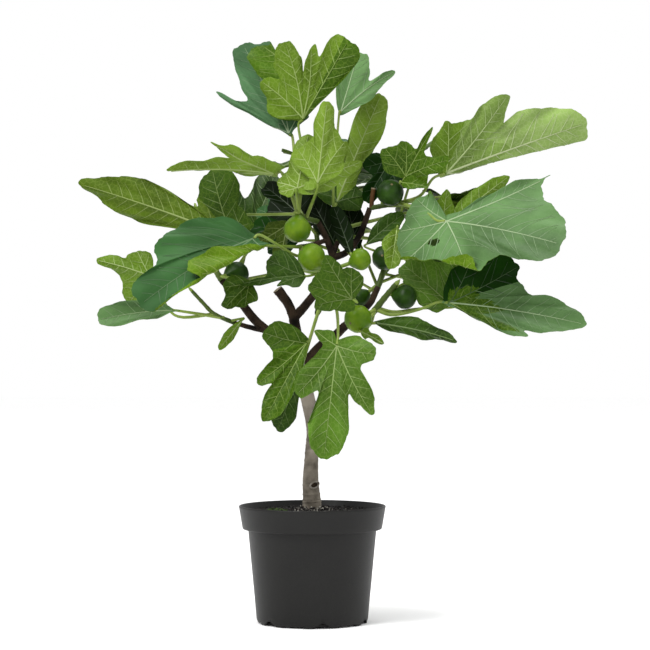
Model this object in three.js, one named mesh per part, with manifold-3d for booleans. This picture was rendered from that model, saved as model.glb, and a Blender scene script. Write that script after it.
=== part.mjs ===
// Fig tree in a black nursery pot.
// Millimetres, +Z up, -Y is the front. The origin is the centre of the pot's flat underside.
// A short leaning trunk forks into boughs. Each bough ends at a foliage mass: a stem with leaf
// stalks, lobed blades and figs fused on. Twelve masses share the crown, and each is one solid.

import * as THREE from "three";
import { mergeVertices } from "three/addons/utils/BufferGeometryUtils.js";
import Module from "manifold-3d";

const wasm = await Module();
wasm.setup();
const { Manifold, Mesh } = wasm;

// ---------------------------------------------------------------- driving dimensions

const GAP = 0.3; // air between neighbouring pieces

const POT = {
  height: 151,
  rimRadius: 95,
  lip: 3,
  collarHeight: 30,
  collarRadius: 90,
  bodyRadius: 83,
  baseRadius: 71.5,
  wall: 1.8,
  discRadius: 52, // flat disc in the middle of the underside
  lift: 2.2, // the underside outside the disc stands this high, between the feet
  floorTop: 4.6,
  segments: 40,
};
const NOTCH = { count: 6, firstAngle: 11, halfWidth: 9, height: 6.5, depth: 10 };
const FOOT = { offset: 13.5, width: 13, depth: 3.2 };
const SOIL = { top: 145.5, edge: 142.5, shoulder: 60, flatRadius: 19 };

const BLADE = {
  midRing: 0.55,
  midThickness: 0.8,
  thickness: 0.0075,
  least: 0.8,
  ripple: 0.02,
  simplest: 0.12, // edges shorter than this are joined up
};
const DETAIL = { tinyLobe: 45, smallLobe: 95, ringedLeaf: 75 }; // below these lengths shapes are simpler
const STALK = { sides: 3, steps: 2, root: 2.6, tip: 1.9, meet: -0.1, sink: -0.015 };
const FIG = { sides: 8, stalk: 2.4 };

// Leaves of the seeded rule, all lengths in millimetres and angles in degrees.
const SPIRAL = {
  turn: 137.5,
  tries: 500,
  stalk: [30, 120],
  blade: [150, 60],
  rise: [-15, 65],
  droop: [20, 75],
  swing: 80,
  hidden: 0.86,
  behind: 12, // no leaf of the rule comes further forward than this
  nearStem: 30,
};
const CROWN = { centre: [15, 50, 480], reach: [330, 225, 235] };
const ROOM = { blade: 6, stalk: 2.5, limb: 6 };
// The crown is open where these lines of sight pass between the leaves of the front.
const EYE = { x: 16, z: 384, distance: 2973 };

// ---------------------------------------------------------------- trunk and boughs
// path runs from the root end to the tip, radii are spread evenly along it.

const FORK = [-12, 0, 330];
const LEFT_FORK = [-57, -20, 376];
const CENTRE_FORK = [-24, 5, 393];
const FRONT_FORK = [16, 5, 445];
const UPPER_FORK = [27, 10, 471];
const TOP_FORK = [19, 10, 494];
const RIGHT_FORK = [48, -25, 387];

const LIMBS = [
  {
    name: "trunk",
    sides: 10,
    steps: 10,
    radii: [13.6, 11.4, 10.2, 8.6, 8.3, 9.1, 9, 8.8],
    path: [[0, 0, SOIL.top - 3], [-1, 0, 160], [-2, 0, 184], [-1, 0, 216],
      [1, 0, 248], [-4, 0, 281], [-11, 0, 313], [-13, 0, 338]],
  },
  { name: "bough_centre", sides: 8, radii: [7.6, 7, 6.6], path: [FORK, [-19, 5, 365], CENTRE_FORK] },
  {
    name: "bough_left",
    sides: 8,
    steps: 9,
    radii: [7, 6.4, 6, 5.6, 5.2, 4.8, 4.2],
    path: [FORK, [-33, -10, 358], LEFT_FORK, [-75, -25, 392], [-89, -30, 410], [-100, -35, 425],
      [-115, -40, 441]],
  },
  {
    name: "bough_right",
    sides: 8,
    radii: [7, 6.4, 5.8, 5.2, 4.4],
    path: [FORK, [10, -10, 356], [31, -20, 372], RIGHT_FORK, [77, -30, 399]],
  },
  { name: "bough_back_left", sides: 7, radii: [6, 5.4, 4.8, 4.2],
    path: [FORK, [-34, 25, 358], [-60, 60, 377], [-79, 85, 395], [-93, 105, 413]] },
  { name: "bough_back_right", sides: 7, radii: [6, 5.4, 4.8, 4.2],
    path: [FORK, [11, 25, 356], [33, 55, 373], [51, 82, 389], [68, 104, 404]] },
  { name: "bough_left_low", radii: [3.6, 3.2, 2.8], path: [LEFT_FORK, [-79, -35, 381], [-100, -44, 387]] },
  { name: "bough_centre_stub", radii: [6.2, 6, 6.6], path: [CENTRE_FORK, [-31, 0, 411], [-45, -5, 430]] },
  { name: "bough_centre_upper", sides: 8, radii: [6.2, 5.6, 5.3, 5, 4.7],
    path: [CENTRE_FORK, [-11, 5, 407], [1, 5, 422], FRONT_FORK, UPPER_FORK] },
  { name: "bough_centre_front", radii: [3.6, 3.4, 3.2], path: [FRONT_FORK, [19, -10, 450], [20, -22, 452]] },
  { name: "bough_back_upper", radii: [4, 3.7, 3.4], path: [FRONT_FORK, [12, 30, 462], [8, 52, 480]] },
  { name: "bough_upper_right", radii: [4.5, 4.3, 4, 3.8, 3.5],
    path: [UPPER_FORK, [45, 20, 479], [58, 30, 495], [67, 35, 514], [75, 35, 537]] },
  { name: "bough_top", radii: [4.5, 4.1, 3.7], path: [UPPER_FORK, TOP_FORK, [7, 10, 518]] },
  { name: "bough_upper_middle", steps: 4, radii: [3.6, 3.4, 3.2],
    path: [UPPER_FORK, [29, 18, 482], [33, 24, 492]] },
  { name: "bough_left_upper", steps: 4, radii: [3.2, 3, 2.9], path: [TOP_FORK, [10, 0, 491], [1, -9, 488]] },
  { name: "bough_right_inner", radii: [4.6, 4.3, 4, 3.8],
    path: [RIGHT_FORK, [64, -10, 401], [76, 5, 414], [85, 11, 433]] },
];

// ---------------------------------------------------------------- blade outlines
// A lobe is [angle, reach, half width, radius of the sinus after it, bluntness, place of the
// widest part]. Angles are degrees from the middle rib. Lengths are parts of the rib's length.
// heelA and heelB are the two sides of the notch at the stalk, as [angle, radius].

const SLIM = {
  lobes: [[0, 1, 0.15, 0]],
  heelA: [[-172, 0.08], [-23, 0.35]],
  heelB: [[23, 0.35], [172, 0.08]],
};
const OVAL = {
  lobes: [[0, 1, 0.2, 0]],
  heelA: [[-172, 0.08], [-27, 0.4]],
  heelB: [[27, 0.4], [172, 0.08]],
};
const ROUND = {
  lobes: [[0, 1, 0.24, 0]],
  heelA: [[-172, 0.08], [-40, 0.45]],
  heelB: [[40, 0.45], [172, 0.08]],
};
const YOUNG = { lobes: [[-55, 0.3, 0.1, 0.3], [0, 1, 0.22, 0.3], [55, 0.3, 0.1, 0]] };

const SPIRAL_SHAPES = [
  { lobes: [[-98, 0.45, 0.14, 0.3], [-48, 0.76, 0.15, 0.44], [0, 1, 0.18, 0.44], [48, 0.76, 0.15, 0]] },
  { lobes: [[-58, 0.7, 0.17, 0.42], [0, 1, 0.2, 0.42], [58, 0.7, 0.17, 0]] },
  { lobes: [[-40, 0.72, 0.16, 0.5], [0, 1, 0.2, 0.46], [46, 0.78, 0.17, 0.3], [96, 0.42, 0.13, 0]] },
];

// ---------------------------------------------------------------- foliage masses
// stem: path from the bough's tip. A leaf's stalk runs through the stalk points to the foot, and
// the middle rib from foot to tip. face: where the upper side looks. bend arches the rib, fold
// lifts the two sides, curl [side, start, turn, widen] rolls one side over beyond start + widen * u.
// spiral: leaves of the seeded rule, spread about heading (0 is the back, 90 is the left).

const MASSES = [
  {
    name: "foliage_top",
    stem: [[7, 10, 518], [-6, -6, 521], [-19, -24, 527]],
    radii: [3.6, 3.4, 3.2],
    figs: [{ at: [-19, -30, 507], size: 17.5, root: [-18, -23, 526] }],
    spiral: { count: 3, heading: 20, spread: 110 },
    leaves: [
      { stalk: [[-18, -22, 526]], foot: [-31, 40, 635], tip: [-93, 85, 758], face: [-0.2, -1, 0.25],
        bend: -15, fold: 8, curl: [-1, 0.2, 155],
        heelA: [[-172, 0.04], [-90, 0.09]], heelB: [[36, 0.4], [28, 0.2], [172, 0.03]],
        lobes: [[-60, 0.5, 0.13, 0.55], [-22, 0.95, 0.15, 0.92], [0, 1, 0.22, 0.5, 0.55, 0.6],
          [39, 0.8, 0.02, 0]] },
      { stalk: [[-18, -22, 526], [-12, -8, 597]], foot: [-12, 5, 651], tip: [46, -45, 746],
        face: [0.1, 1, 0.3], bend: 15, fold: -6, heelB: [[14, 0.5], [14, 0.2], [172, 0.05]],
        lobes: [[-76, 0.61, 0.12, 0.5], [-41, 0.87, 0.2, 0.52], [-22, 0.82, 0.13, 0.72],
          [0, 1, 0.22, 0, 0.8]] },
      { stalk: [[-17, -21, 525]], foot: [-19, -45, 558], tip: [-5, -10, 630], face: [0, 1, 0.2],
        fold: 10, heelB: [[70, 0.5], [100, 0.2], [172, 0.05]],
        lobes: [[-120, 0.3, 0.12, 0.25], [-75, 0.35, 0.12, 0.4], [0, 1, 0.22, 0.55], [49, 1.22, 0.12, 0]] },
      { stalk: [[-8, -9, 522]], foot: [7, -45, 565], tip: [19, -60, 668], face: [0, 1, 0.1],
        heelB: [[60, 0.3], [172, 0.05]],
        lobes: [[-110, 0.2, 0.06, 0.12], [-38, 0.5, 0.14, 0.55], [0, 1, 0.15, 0.69],
          [27, 0.62, 0.13, 0.4]] },
      { stalk: [[-18, -22, 526]], foot: [-50, -25, 578], tip: [-183, -95, 579], face: [0, 0.35, 0.94],
        bend: 12, fold: 10,
        lobes: [[-100, 0.15, 0.08, 0.13], [-33, 0.34, 0.08, 0.3], [0, 1, 0.13, 0.5, 0.35],
          [27, 0.83, 0.05, 0.28, 0.3], [95, 0.13, 0.08, 0]] },
    ],
  },
  {
    name: "foliage_upper",
    stem: [[33, 24, 492], [36, 27, 501], [39, 30, 511]],
    radii: [3.2, 3.1, 3],
    spiral: { count: 3, heading: -10, spread: 60 },
    leaves: [
      { stalk: [[38, 29, 508], [27, 20, 545]], foot: [37, 35, 663], tip: [62, 85, 750],
        face: [0.2, -1, 0.2], bend: 10, fold: 6, heelA: [[-172, 0.05], [-80, 0.1], [-50, 0.4]],
        heelB: [[30, 0.3], [172, 0.05]], lobes: [[-31.5, 0.98, 0.075, 0.62], [0, 1, 0.22, 0]] },
      { stalk: [[38, 29, 508]], foot: [32, 35, 545], tip: [91, 80, 691], face: [0, 1, 0.1], bend: 15,
        lobes: [[-46, 0.36, 0.12, 0.3], [0, 1, 0.15, 0.3], [50, 0.25, 0.1, 0]] },
      { stalk: [[36, 27, 501], [50, 50, 484]], foot: [60, 70, 483], tip: [40, 90, 564],
        face: [0, -1, 0.3], heelA: [[-172, 0.05], [-30, 0.4]], heelB: [[20, 0.4], [172, 0.05]],
        lobes: [[0, 1, 0.19, 0, 0.3]] },
      { stalk: [[36, 26, 499], [47, 8, 478]], foot: [49, -10, 478], tip: [27, 0, 538], face: [0, 1, 0.3],
        ...OVAL },
    ],
  },
  {
    name: "foliage_right_high",
    stem: [[75, 35, 537], [95, 30, 540], [114, 25, 543]],
    radii: [3.3, 3, 2.6],
    stub: { path: [[77, 34, 537], [78, 35, 550], [80, 35, 563]], radii: [3, 2.9, 2.9] },
    figs: [{ at: [101, 10, 555], size: 17.5, root: [99, 28, 541] }],
    spiral: { count: 3, heading: -50, spread: 100 },
    leaves: [
      { stalk: [[113, 25, 543], [139, 5, 551]], foot: [174, 15, 581], tip: [363, 80, 651],
        face: [0, 1, 0.3], bend: 12, fold: 4, curl: [1, -0.02, 130, 0.09],
        lobes: [[-70, 0.32, 0.08, 0.36], [-31, 0.64, 0.1, 0.5, 0.5], [0, 1.01, 0.24, 0.4, 0.5, 0.62],
          [28, 0.45, 0.1, 0]] },
      { stalk: [[112, 25, 543]], foot: [121, 10, 577], tip: [157, 0, 641], face: [0, -1, 0.3],
        lobes: [[-82, 0.42, 0.12, 0.45], [-42, 0.85, 0.16, 0.5], [0, 1, 0.07, 0.5, 0.3],
          [28, 0.62, 0.15, 0.56], [64, 0.62, 0.2, 0]] },
      { stalk: [[111, 25, 543]], foot: [116, 0, 568], tip: [149, -20, 561], face: [0, -1, 0.3],
        heelA: [[-172, 0.05], [-40, 0.4]], heelB: [[40, 0.4], [172, 0.05]], lobes: [[0, 1, 0.17, 0]] },
      { stalk: [[113, 25, 543]], foot: [179, -25, 516], tip: [255, 15, 577], face: [0, 1, 0.2],
        ...SLIM, lobes: [[0, 1, 0.13, 0]] },
      { stalk: [[112, 25, 543]], foot: [167, -30, 515], tip: [172, -35, 556], face: [0, 1, 0.2], ...ROUND },
      { stalk: [[112, 25, 543]], foot: [158, -30, 516], tip: [149, -35, 555], face: [0, -1, 0.2],
        heelA: [[-172, 0.05], [-30, 0.45]], heelB: [[30, 0.45], [172, 0.05]], lobes: [[0, 1, 0.15, 0]] },
      { stalk: [[113, 25, 543], [143, -50, 528]], foot: [169, -90, 514], tip: [305, -175, 481],
        face: [0, -1, 0.45], bend: 20, fold: -6, curl: [-1, 0.33, 155], heelA: [[-240, 0.05]],
        heelB: [[49, 0.4], [54, 0.2], [110, 0.05]],
        lobes: [[-206, 0.5, 0.1, 0.43], [-165, 0.45, 0.12, 0.44], [-122, 0.48, 0.13, 0.38],
          [-48, 0.62, 0.17, 0.62], [0, 1, 0.24, 0.77, 0.8], [41, 0.86, 0.07, 0, 0.3]] },
      { stalk: [[90, 32, 539]], foot: [103, 55, 601], tip: [69, 40, 544], face: [0, -1, 0.1],
        lobes: [[-40, 0.6, 0.2, 0.5], [0, 1, 0.22, 0.5], [40, 0.6, 0.2, 0]] },
    ],
  },
  {
    name: "foliage_right_low",
    stem: [[77, -30, 399], [92, -37, 418], [107, -42, 436]],
    radii: [4.2, 3.8, 3.4],
    figs: [{ at: [118, -40, 420], size: 15.5, root: [97, -39, 424] },
      { at: [59, -60, 392], size: 18, root: [81, -33, 404] }],
    spiral: { count: 3, heading: -80, spread: 110 },
    leaves: [
      { stalk: [[81, -32, 404], [103, -38, 397], [137, -45, 404]], foot: [175, -55, 412],
        tip: [339, -130, 385], face: [0, -1, 0.4], bend: 20, fold: 4,
        heelA: [[-172, 0.05], [-14, 0.2], [-20, 0.42]],
        lobes: [[-25, 0.68, 0.08, 0.8], [0, 1, 0.17, 0.6, 0.4], [36, 0.54, 0.2, 0.36], [76, 0.3, 0.12, 0]] },
      { stalk: [[83, -33, 406], [105, -33, 401], [137, -36, 405]], foot: [174, -30, 412],
        tip: [116, -10, 463], face: [0, -1, 0.3],
        lobes: [[-60, 0.66, 0.2, 0.7], [0, 1, 0.3, 0.7], [50, 0.45, 0.15, 0]] },
      { stalk: [[80, -32, 402]], foot: [82, -65, 386], tip: [179, -135, 364], face: [0, 1, 0.4],
        heelA: [[-172, 0.05], [-20, 0.35]], heelB: [[20, 0.35], [172, 0.05]],
        lobes: [[0, 1, 0.09, 0, 0.35]] },
      { stalk: [[80, -32, 402], [74, -52, 384]], foot: [63, -75, 375], tip: [88, -90, 361],
        face: [0, 1, 0.5], ...YOUNG },
    ],
  },
  {
    name: "foliage_right_mid",
    stem: [[85, 11, 433], [91, 17, 450], [96, 20, 466], [102, 17, 480]],
    radii: [3.8, 3.6, 3.4, 3],
    figs: [{ at: [93, 0, 471], size: 16, root: [97, 20, 468] },
      { at: [63, 20, 419], size: 13, root: [87, 13, 438] }],
    spiral: { count: 3, heading: -60, spread: 100 },
    leaves: [
      { stalk: [[101, 18, 477], [108, -10, 490]], foot: [108, -40, 505], tip: [100, -60, 454],
        face: [0, -1, 0.3], ...ROUND },
      { stalk: [[100, 18, 476], [82, 12, 480]], foot: [72, 10, 490], tip: [118, 20, 528],
        face: [0, -1, 0.3], heelA: [[-172, 0.05], [-30, 0.5]], heelB: [[30, 0.4], [172, 0.05]],
        lobes: [[0, 1, 0.22, 0]] },
    ],
  },
  {
    name: "foliage_centre",
    stem: [[20, -22, 452], [22, -52, 452], [20, -80, 441]],
    radii: [3.2, 3, 2.8],
    figs: [{ at: [0, -60, 469], size: 18, root: [21, -50, 453] },
      { at: [61, -50, 467], size: 14, root: [21, -42, 453] }],
    leaves: [
      { stalk: [[22, -58, 451]], foot: [50, -110, 416], tip: [-5, -125, 434], face: [0, -1, 0.2],
        lobes: [[-68, 0.68, 0.2, 0.65], [-38, 1.05, 0.22, 0.9], [0, 1, 0.25, 0.85], [28, 0.88, 0.2, 0.5],
          [75, 0.35, 0.12, 0]] },
      { stalk: [[21, -40, 453]], foot: [-11, -70, 446], tip: [-90, -90, 435], face: [0, -1, 0.5],
        lobes: [[-30, 0.6, 0.25, 0.6], [0, 1, 0.1, 0.4], [20, 0.5, 0.05, 0]] },
      { stalk: [[20, -78, 442], [31, -95, 403]], foot: [31, -125, 358], tip: [15, -150, 220],
        face: [0, -1, 0.1], bend: 15,
        lobes: [[-118, 0.23, 0.055, 0.14], [-32, 0.58, 0.12, 0.46], [0, 1, 0.2, 0.465, 0.65],
          [33, 0.7, 0.1, 0.3, 0.4], [80, 0.37, 0.1, 0]] },
      { stalk: [[20, -77, 442], [10, -90, 409]], foot: [-7, -95, 361], tip: [-59, -125, 265],
        face: [0, -1, 0.1], heelB: [[20, 0.4], [20, 0.2], [172, 0.05]],
        lobes: [[-70, 0.5, 0.17, 0.42], [-21, 0.74, 0.1, 0.62], [0, 1, 0.16, 0]] },
      { stalk: [[21, -74, 443], [2, -72, 380]], foot: [-15, -70, 325], tip: [-43, -80, 251],
        face: [0, -1, 0.1], ...YOUNG },
    ],
  },
  {
    name: "foliage_left",
    stem: [[1, -9, 488], [-7, -13, 486], [-16, -16, 485]],
    radii: [2.9, 2.8, 2.7],
    spiral: { count: 3, heading: 70, spread: 60 },
    leaves: [
      { stalk: [[-14, -15, 485], [-20, -48, 472]], foot: [-75, -85, 492], tip: [-208, -185, 407],
        face: [-0.2, -1, 0.5], bend: 30, fold: 6, curl: [1, 0.1, 160],
        heelA: [[-172, 0.05], [-100, 0.12], [-66, 0.28], [-48, 0.42], [-34, 0.56], [-22, 0.7]],
        lobes: [[0, 1, 0.17, 0.75, 0.9], [18, 0.66, 0.1, 0.4], [80, 0.14, 0.08, 0]] },
      { stalk: [[-15, -16, 485], [-26, -34, 484]], foot: [-102, -35, 495], tip: [-304, 10, 568],
        face: [0, 1, 0.3],
        lobes: [[-50, 0.2, 0.08, 0.24], [0, 1, 0.145, 0.31, 0.3, 0.64], [50, 0.42, 0.16, 0.21],
          [95, 0.17, 0.08, 0]] },
    ],
  },
  {
    name: "foliage_left_low",
    stem: [[-100, -44, 387], [-124, -55, 398], [-139, -60, 413], [-152, -60, 427]],
    radii: [2.8, 2.6, 2.4, 2.2],
    spiral: { count: 3, heading: 80, spread: 90 },
    leaves: [
      { stalk: [[-112, -50, 393]], foot: [-176, -80, 402], tip: [-265, -130, 390], face: [0, -1, 0.5],
        ...SLIM, lobes: [[0, 1, 0.17, 0, 0.75]] },
      { stalk: [[-124, -55, 398], [-166, -62, 394], [-184, -61, 408]], foot: [-205, -60, 446],
        tip: [-273, -30, 467], face: [0, 1, 0.3],
        lobes: [[-56, 0.8, 0.24, 0.66], [0, 1.03, 0.15, 0.6], [40, 0.5, 0.15, 0]] },
      { stalk: [[-104, -46, 389]], foot: [-90, -52, 389], tip: [-116, -68, 354], face: [0, 1, 0.3],
        ...SLIM },
    ],
  },
  {
    name: "foliage_left_mid",
    stem: [[-115, -40, 441], [-122, -38, 452], [-126, -32, 464]],
    radii: [4.2, 3.6, 3.2],
    figs: [{ at: [-98, -20, 449], size: 16.5, root: [-117, -39, 446] }],
    spiral: { count: 3, heading: 60, spread: 100 },
    leaves: [
      { stalk: [[-119, -39, 446]], foot: [-78, -82, 437], tip: [-109, -90, 405], face: [0, -1, 0.3],
        lobes: [[-35, 0.75, 0.3, 0.8], [0, 1, 0.35, 0.8], [35, 0.75, 0.3, 0]] },
    ],
  },
  {
    name: "foliage_back_left",
    stem: [[-93, 105, 413], [-105, 122, 436], [-108, 132, 462]],
    radii: [4.2, 3.8, 3.2],
    spiral: { count: 6, heading: 35, spread: 130 },
    leaves: [],
  },
  {
    name: "foliage_back_right",
    stem: [[68, 104, 404], [84, 120, 428], [96, 130, 456]],
    radii: [4.2, 3.8, 3.2],
    spiral: { count: 6, heading: -35, spread: 130 },
    leaves: [],
  },
  {
    name: "foliage_back_top",
    stem: [[8, 52, 480], [5, 66, 505], [0, 78, 534]],
    radii: [3.4, 3.2, 3],
    spiral: { count: 6, heading: 0, spread: 130 },
    leaves: [
      { stalk: [[5, 65, 503]], foot: [-17, 60, 529], tip: [-65, 100, 570], face: [0, -1, 0.3],
        lobes: [[-45, 0.6, 0.2, 0.6], [0, 1, 0.22, 0.6], [40, 0.6, 0.2, 0]] },
      { stalk: [[6, 60, 495]], foot: [-17, 80, 499], tip: [-79, 120, 517], face: [0, -1, 0.3],
        lobes: [[-55, 0.6, 0.2, 0.6], [0, 1, 0.33, 0.6], [50, 0.6, 0.2, 0]] },
      { stalk: [[7, 57, 489]], foot: [30, 60, 489], tip: [-12, 90, 569], face: [0, -1, 0.3],
        ...OVAL },
    ],
  },
];

// ---------------------------------------------------------------- small helpers

const degrees = THREE.MathUtils.radToDeg;
const radians = THREE.MathUtils.degToRad;
const vector = (p) => new THREE.Vector3(p[0], p[1], p[2]);
const between = ([low, high], share) => low + (high - low) * share;

// Number between 0 and 1, the same run of numbers for the same start.
function seededNumbers(start) {
  let state = start;
  return () => {
    state = (Math.imul(state, 1664525) + 1013904223) >>> 0;
    return state / 4294967296;
  };
}

// Value at t of numbers spread evenly from 0 to 1.
function evenly(values, t) {
  const place = t * (values.length - 1);
  const k = Math.min(Math.floor(place), values.length - 2);
  return between([values[k], values[k + 1]], place - k);
}

const smoothCurve = (path) => new THREE.CatmullRomCurve3(path.map(vector), false, "catmullrom", 0.5);

// Closed geometry to a solid that faces out.
function toSolid(geometry) {
  geometry.deleteAttribute("normal");
  geometry.deleteAttribute("uv");
  const welded = mergeVertices(geometry, 1e-4);
  const points = Float32Array.from(welded.getAttribute("position").array);
  const corners = Uint32Array.from(welded.index.array);
  const [a, b, c] = [0, 1, 2].map(() => new THREE.Vector3());
  let volume = 0;
  for (let i = 0; i < corners.length; i += 3) {
    a.fromArray(points, corners[i] * 3);
    b.fromArray(points, corners[i + 1] * 3);
    c.fromArray(points, corners[i + 2] * 3);
    volume += a.dot(b.cross(c));
  }
  if (volume < 0) corners.reverse();
  return new Manifold(new Mesh({ numProp: 3, vertProperties: points, triVerts: corners }));
}

// The one closed body of a solid: loose scrap is dropped and sealed hollows are filled.
function oneBody(solid) {
  const bodies = solid.decompose();
  return bodies.reduce((best, body) => (body.volume() > best.volume() ? body : best));
}

function toMesh(solid, name, color, roughness) {
  const { vertProperties, triVerts } = solid.getMesh();
  const geometry = new THREE.BufferGeometry();
  geometry.setAttribute("position", new THREE.BufferAttribute(Float32Array.from(vertProperties), 3));
  geometry.setIndex(new THREE.BufferAttribute(Uint32Array.from(triVerts), 1));
  geometry.computeVertexNormals();
  const material = new THREE.MeshStandardMaterial({ color, roughness, metalness: 0 });
  material.name = name;
  const mesh = new THREE.Mesh(geometry, material);
  mesh.name = name;
  return mesh;
}

// ---------------------------------------------------------------- round limbs

// Tapering round limb along a smooth path. grow makes it fatter and longer on every side.
function limb({ path, radii, sides = 6, steps = 6 }, grow = 0) {
  const curve = smoothCurve(path);
  const chord = curve.getPoint(1).sub(curve.getPoint(0)).normalize();
  const aside = Math.abs(chord.z) > 0.6 ? new THREE.Vector3(0, 1, 0) : new THREE.Vector3(0, 0, 1);
  const geometry = new THREE.CylinderGeometry(1, 1, 1, sides, steps);
  const position = geometry.getAttribute("position");
  for (let i = 0; i < position.count; i++) {
    const t = position.getY(i) + 0.5;
    const point = curve.getPoint(t);
    const ahead = curve.getTangent(t);
    const right = new THREE.Vector3().crossVectors(aside, ahead).normalize();
    const over = new THREE.Vector3().crossVectors(ahead, right);
    const radius = evenly(radii, t) + grow;
    point.addScaledVector(right, radius * position.getX(i));
    point.addScaledVector(over, radius * position.getZ(i));
    if (t === 0) point.addScaledVector(ahead, -grow);
    if (t === 1) point.addScaledVector(ahead, grow);
    position.setXYZ(i, point.x, point.y, point.z);
  }
  return toSolid(geometry);
}

// ---------------------------------------------------------------- leaf blades

// Outline about the stalk's end, in parts of the rib's length, from one side of the notch round
// to the other. Angles are kept rising, so that every ray from the stalk's end meets it once.
function outline({ lobes, heelA, heelB }, length) {
  const first = lobes[0];
  const last = lobes[lobes.length - 1];
  const start = heelA ?? [[-172, 0.05], [first[0] - 38, first[1] * 0.55]];
  const end = heelB ?? [[last[0] + 38, last[1] * 0.55], [172, 0.05]];
  const rays = start.map(([angle, radius]) => [angle, radius]);
  lobes.forEach(([angle, reach, half, sinus, blunt = 0.55, fat = 0.72], k) => {
    const before = k > 0 ? lobes[k - 1][3] : 0;
    let nose = [[0.93, -blunt], [1, 0], [0.93, blunt]];
    if (reach * length < DETAIL.smallLobe) nose = [[0.97, -0.65 * blunt], [0.97, 0.65 * blunt]];
    if (reach * length < DETAIL.tinyLobe) nose = [[1, 0]];
    for (const [part, across, sinusBeside] of [[fat, -0.92, before], ...nose, [fat, 0.92, sinus]]) {
      const x = reach * part;
      const y = half * across;
      if (Math.hypot(x, y) < (sinusBeside ?? 0)) continue;
      rays.push([angle + degrees(Math.atan2(y, x)), Math.hypot(x, y)]);
    }
    if (k === lobes.length - 1) return;
    const [nextAngle, nextReach, nextHalf] = lobes[k + 1];
    const sideA = angle + degrees(Math.atan2(half, 0.62 * reach));
    const sideB = nextAngle - degrees(Math.atan2(nextHalf, 0.62 * nextReach));
    rays.push([(sideA + sideB) / 2, sinus]);
  });
  rays.push(...end);
  const step = 1.5;
  const rising = rays.map(([angle]) => angle);
  const falling = [...rising];
  for (let k = 1; k < rays.length; k++) rising[k] = Math.max(rising[k], rising[k - 1] + step);
  for (let k = rays.length - 2; k >= 0; k--) falling[k] = Math.min(falling[k], falling[k + 1] - step);
  return rays.map(([, radius], k) => {
    const angle = radians((rising[k] + falling[k]) / 2);
    return [radius * Math.cos(angle), radius * Math.sin(angle)];
  });
}

// Faces of a blade's rings, from the middle of the upper side to the middle of the underside. The
// underside's diagonals lie under the upper side's, so that the two sides never cross.
function bladeFaces(rings, columns) {
  const faces = [];
  for (let ring = 0; ring < rings - 1; ring++) {
    for (let column = 0; column < columns; column++) {
      const a = ring * (columns + 1) + column;
      const b = a + columns + 1;
      const upper = ring < (rings - 1) / 2;
      if (ring > 0) faces.push(...(upper ? [a + 1, a, b + 1] : [a + 1, a, b]));
      if (ring < rings - 2) faces.push(...(upper ? [a, b, b + 1] : [a + 1, b, b + 1]));
    }
  }
  return faces;
}

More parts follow.
